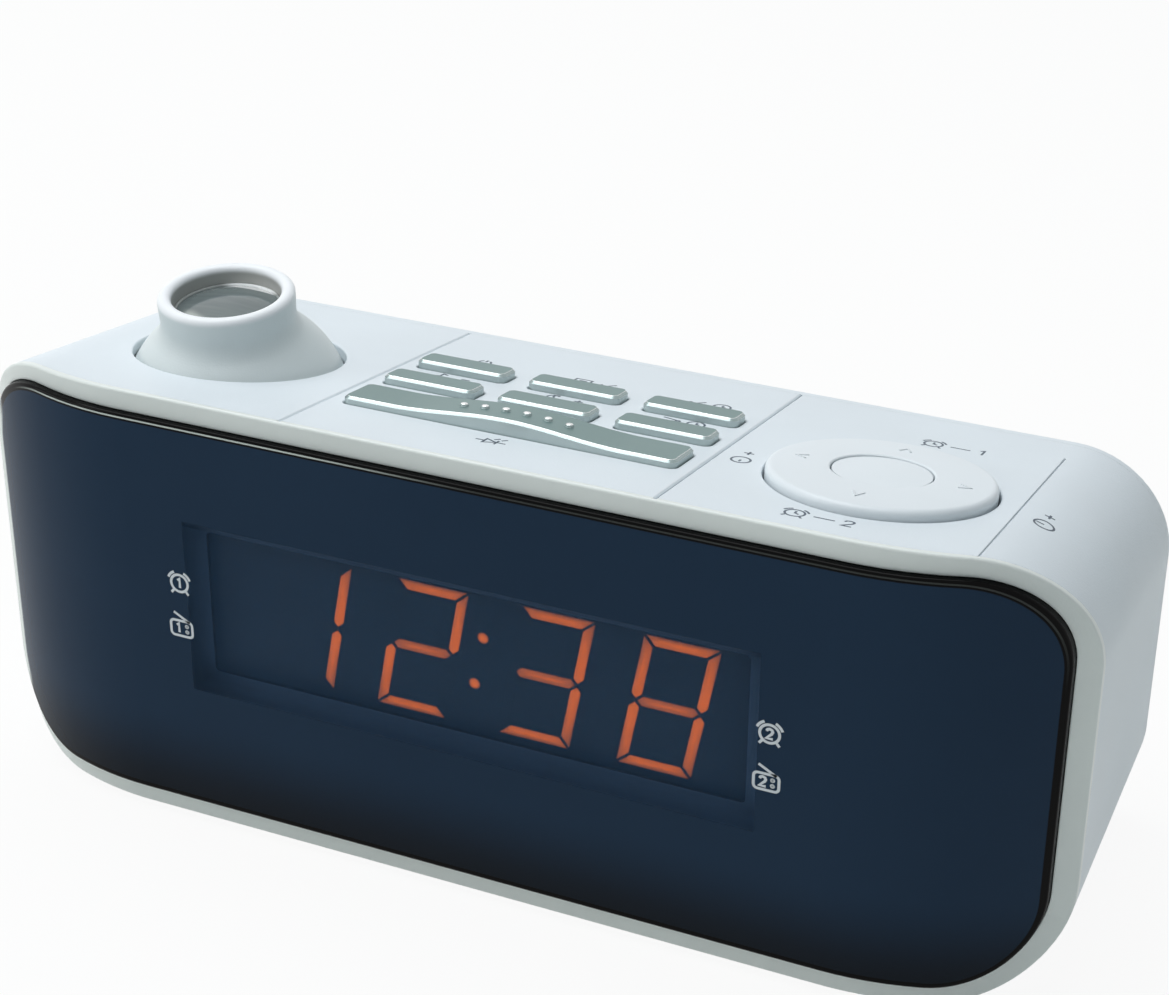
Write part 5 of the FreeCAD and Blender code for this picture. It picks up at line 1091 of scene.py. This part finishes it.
floor_mesh = bpy.data.meshes.new("studio_floor")
shape = bmesh.new()
bmesh.ops.create_grid(shape, x_segments=1, y_segments=1, size=3.0)
shape.to_mesh(floor_mesh)
shape.free()
floor = bpy.data.objects.new("studio_floor", floor_mesh)
bpy.context.collection.objects.link(floor)
floor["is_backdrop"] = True


def backdrop(tree, output, share, lit, seen):
    """Scattered light meets one shader; the camera, gloss and glass meet another."""
    tree.nodes.clear()
    path = tree.nodes.new("ShaderNodeLightPath")
    direct = maths(tree, "MAXIMUM", path.outputs["Is Camera Ray"], path.outputs["Is Glossy Ray"])
    direct = maths(tree, "MAXIMUM", direct, path.outputs["Is Transmission Ray"])
    blend = tree.nodes.new("ShaderNodeMixShader")
    for socket, (kind, colour, strength) in zip((blend.inputs[1], blend.inputs[2]), (lit, seen)):
        node = tree.nodes.new("ShaderNode" + kind)
        node.inputs["Color"].default_value = (*colour, 1)
        if strength is not None:
            node.inputs["Strength"].default_value = strength
        tree.links.new(node.outputs[0], socket)
    out = tree.nodes.new(output)
    wire(
        tree,
        (maths(tree, "MULTIPLY", direct, share), blend.inputs["Fac"]),
        (blend.outputs[0], out.inputs["Surface"]))


paper = bpy.data.materials.new("studio_paper")
paper.use_nodes = True
backdrop(
    paper.node_tree, "ShaderNodeOutputMaterial", 0.92,
    ("BsdfDiffuse", (0.88, 0.90, 0.88), None), ("Emission", (1, 1, 1), 1.0))
floor_mesh.materials.append(paper)

world = bpy.data.worlds.new("studio")
bpy.context.scene.world = world
world.use_nodes = True
backdrop(
    world.node_tree, "ShaderNodeOutputWorld", 1.0,
    ("Background", (0.83, 0.95, 1.0), 0.25), ("Background", (1, 1, 1), 1.0))


def softbox(name, place, target, size, power, colour):
    lamp = bpy.data.lights.new(name, "AREA")
    lamp.shape = "RECTANGLE"
    lamp.size, lamp.size_y = size
    lamp.energy, lamp.color = power, colour
    obj = bpy.data.objects.new(name, lamp)
    bpy.context.collection.objects.link(obj)
    obj.location = place
    obj.rotation_euler = (Vector(target) - Vector(place)).to_track_quat("-Z", "Y").to_euler()


softbox("top_softbox", (-0.30, 0.05, 1.0), (0, 0, 0.05), (0.9, 0.9), 8.4, (0.97, 0.98, 1.0))
softbox("left_softbox", (-0.9, -0.55, 0.45), (0, 0, 0.04), (0.6, 0.5), 1.9, (1.0, 1.0, 0.97))


# Camera
# It stands at the photograph's place: turned to the left, pitched down and rolled a little.

CAMERA_PLACE = Vector((0.14449, -0.31487, 0.23364))
YAW, PITCH, ROLL = (math.radians(angle) for angle in (23.381, 25.815, 0.580))
forward = Vector((-math.sin(YAW) * math.cos(PITCH), math.cos(YAW) * math.cos(PITCH), -math.sin(PITCH)))
level = Vector((math.cos(YAW), math.sin(YAW), 0))
rise = level.cross(forward)
right = level * math.cos(ROLL) + rise * math.sin(ROLL)
up = rise * math.cos(ROLL) - level * math.sin(ROLL)
optics = bpy.data.cameras.new("camera")
optics.sensor_fit = "HORIZONTAL"
optics.sensor_width = 36.0
optics.lens = 73.36
optics.shift_x = -0.01499
optics.shift_y = -0.0465
optics.clip_start = 0.01
camera = bpy.data.objects.new("camera", optics)
bpy.context.collection.objects.link(camera)
camera.matrix_world = Matrix.Translation(CAMERA_PLACE) @ Matrix((right, up, -forward)).transposed().to_4x4()
bpy.context.scene.camera = camera
bpy.context.scene.view_settings.view_transform = "Standard"

boxes = {"cad": cad_box, "visual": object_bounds()}
{label: [list(map(float, corner)) for corner in pair] for label, pair in boxes.items()}
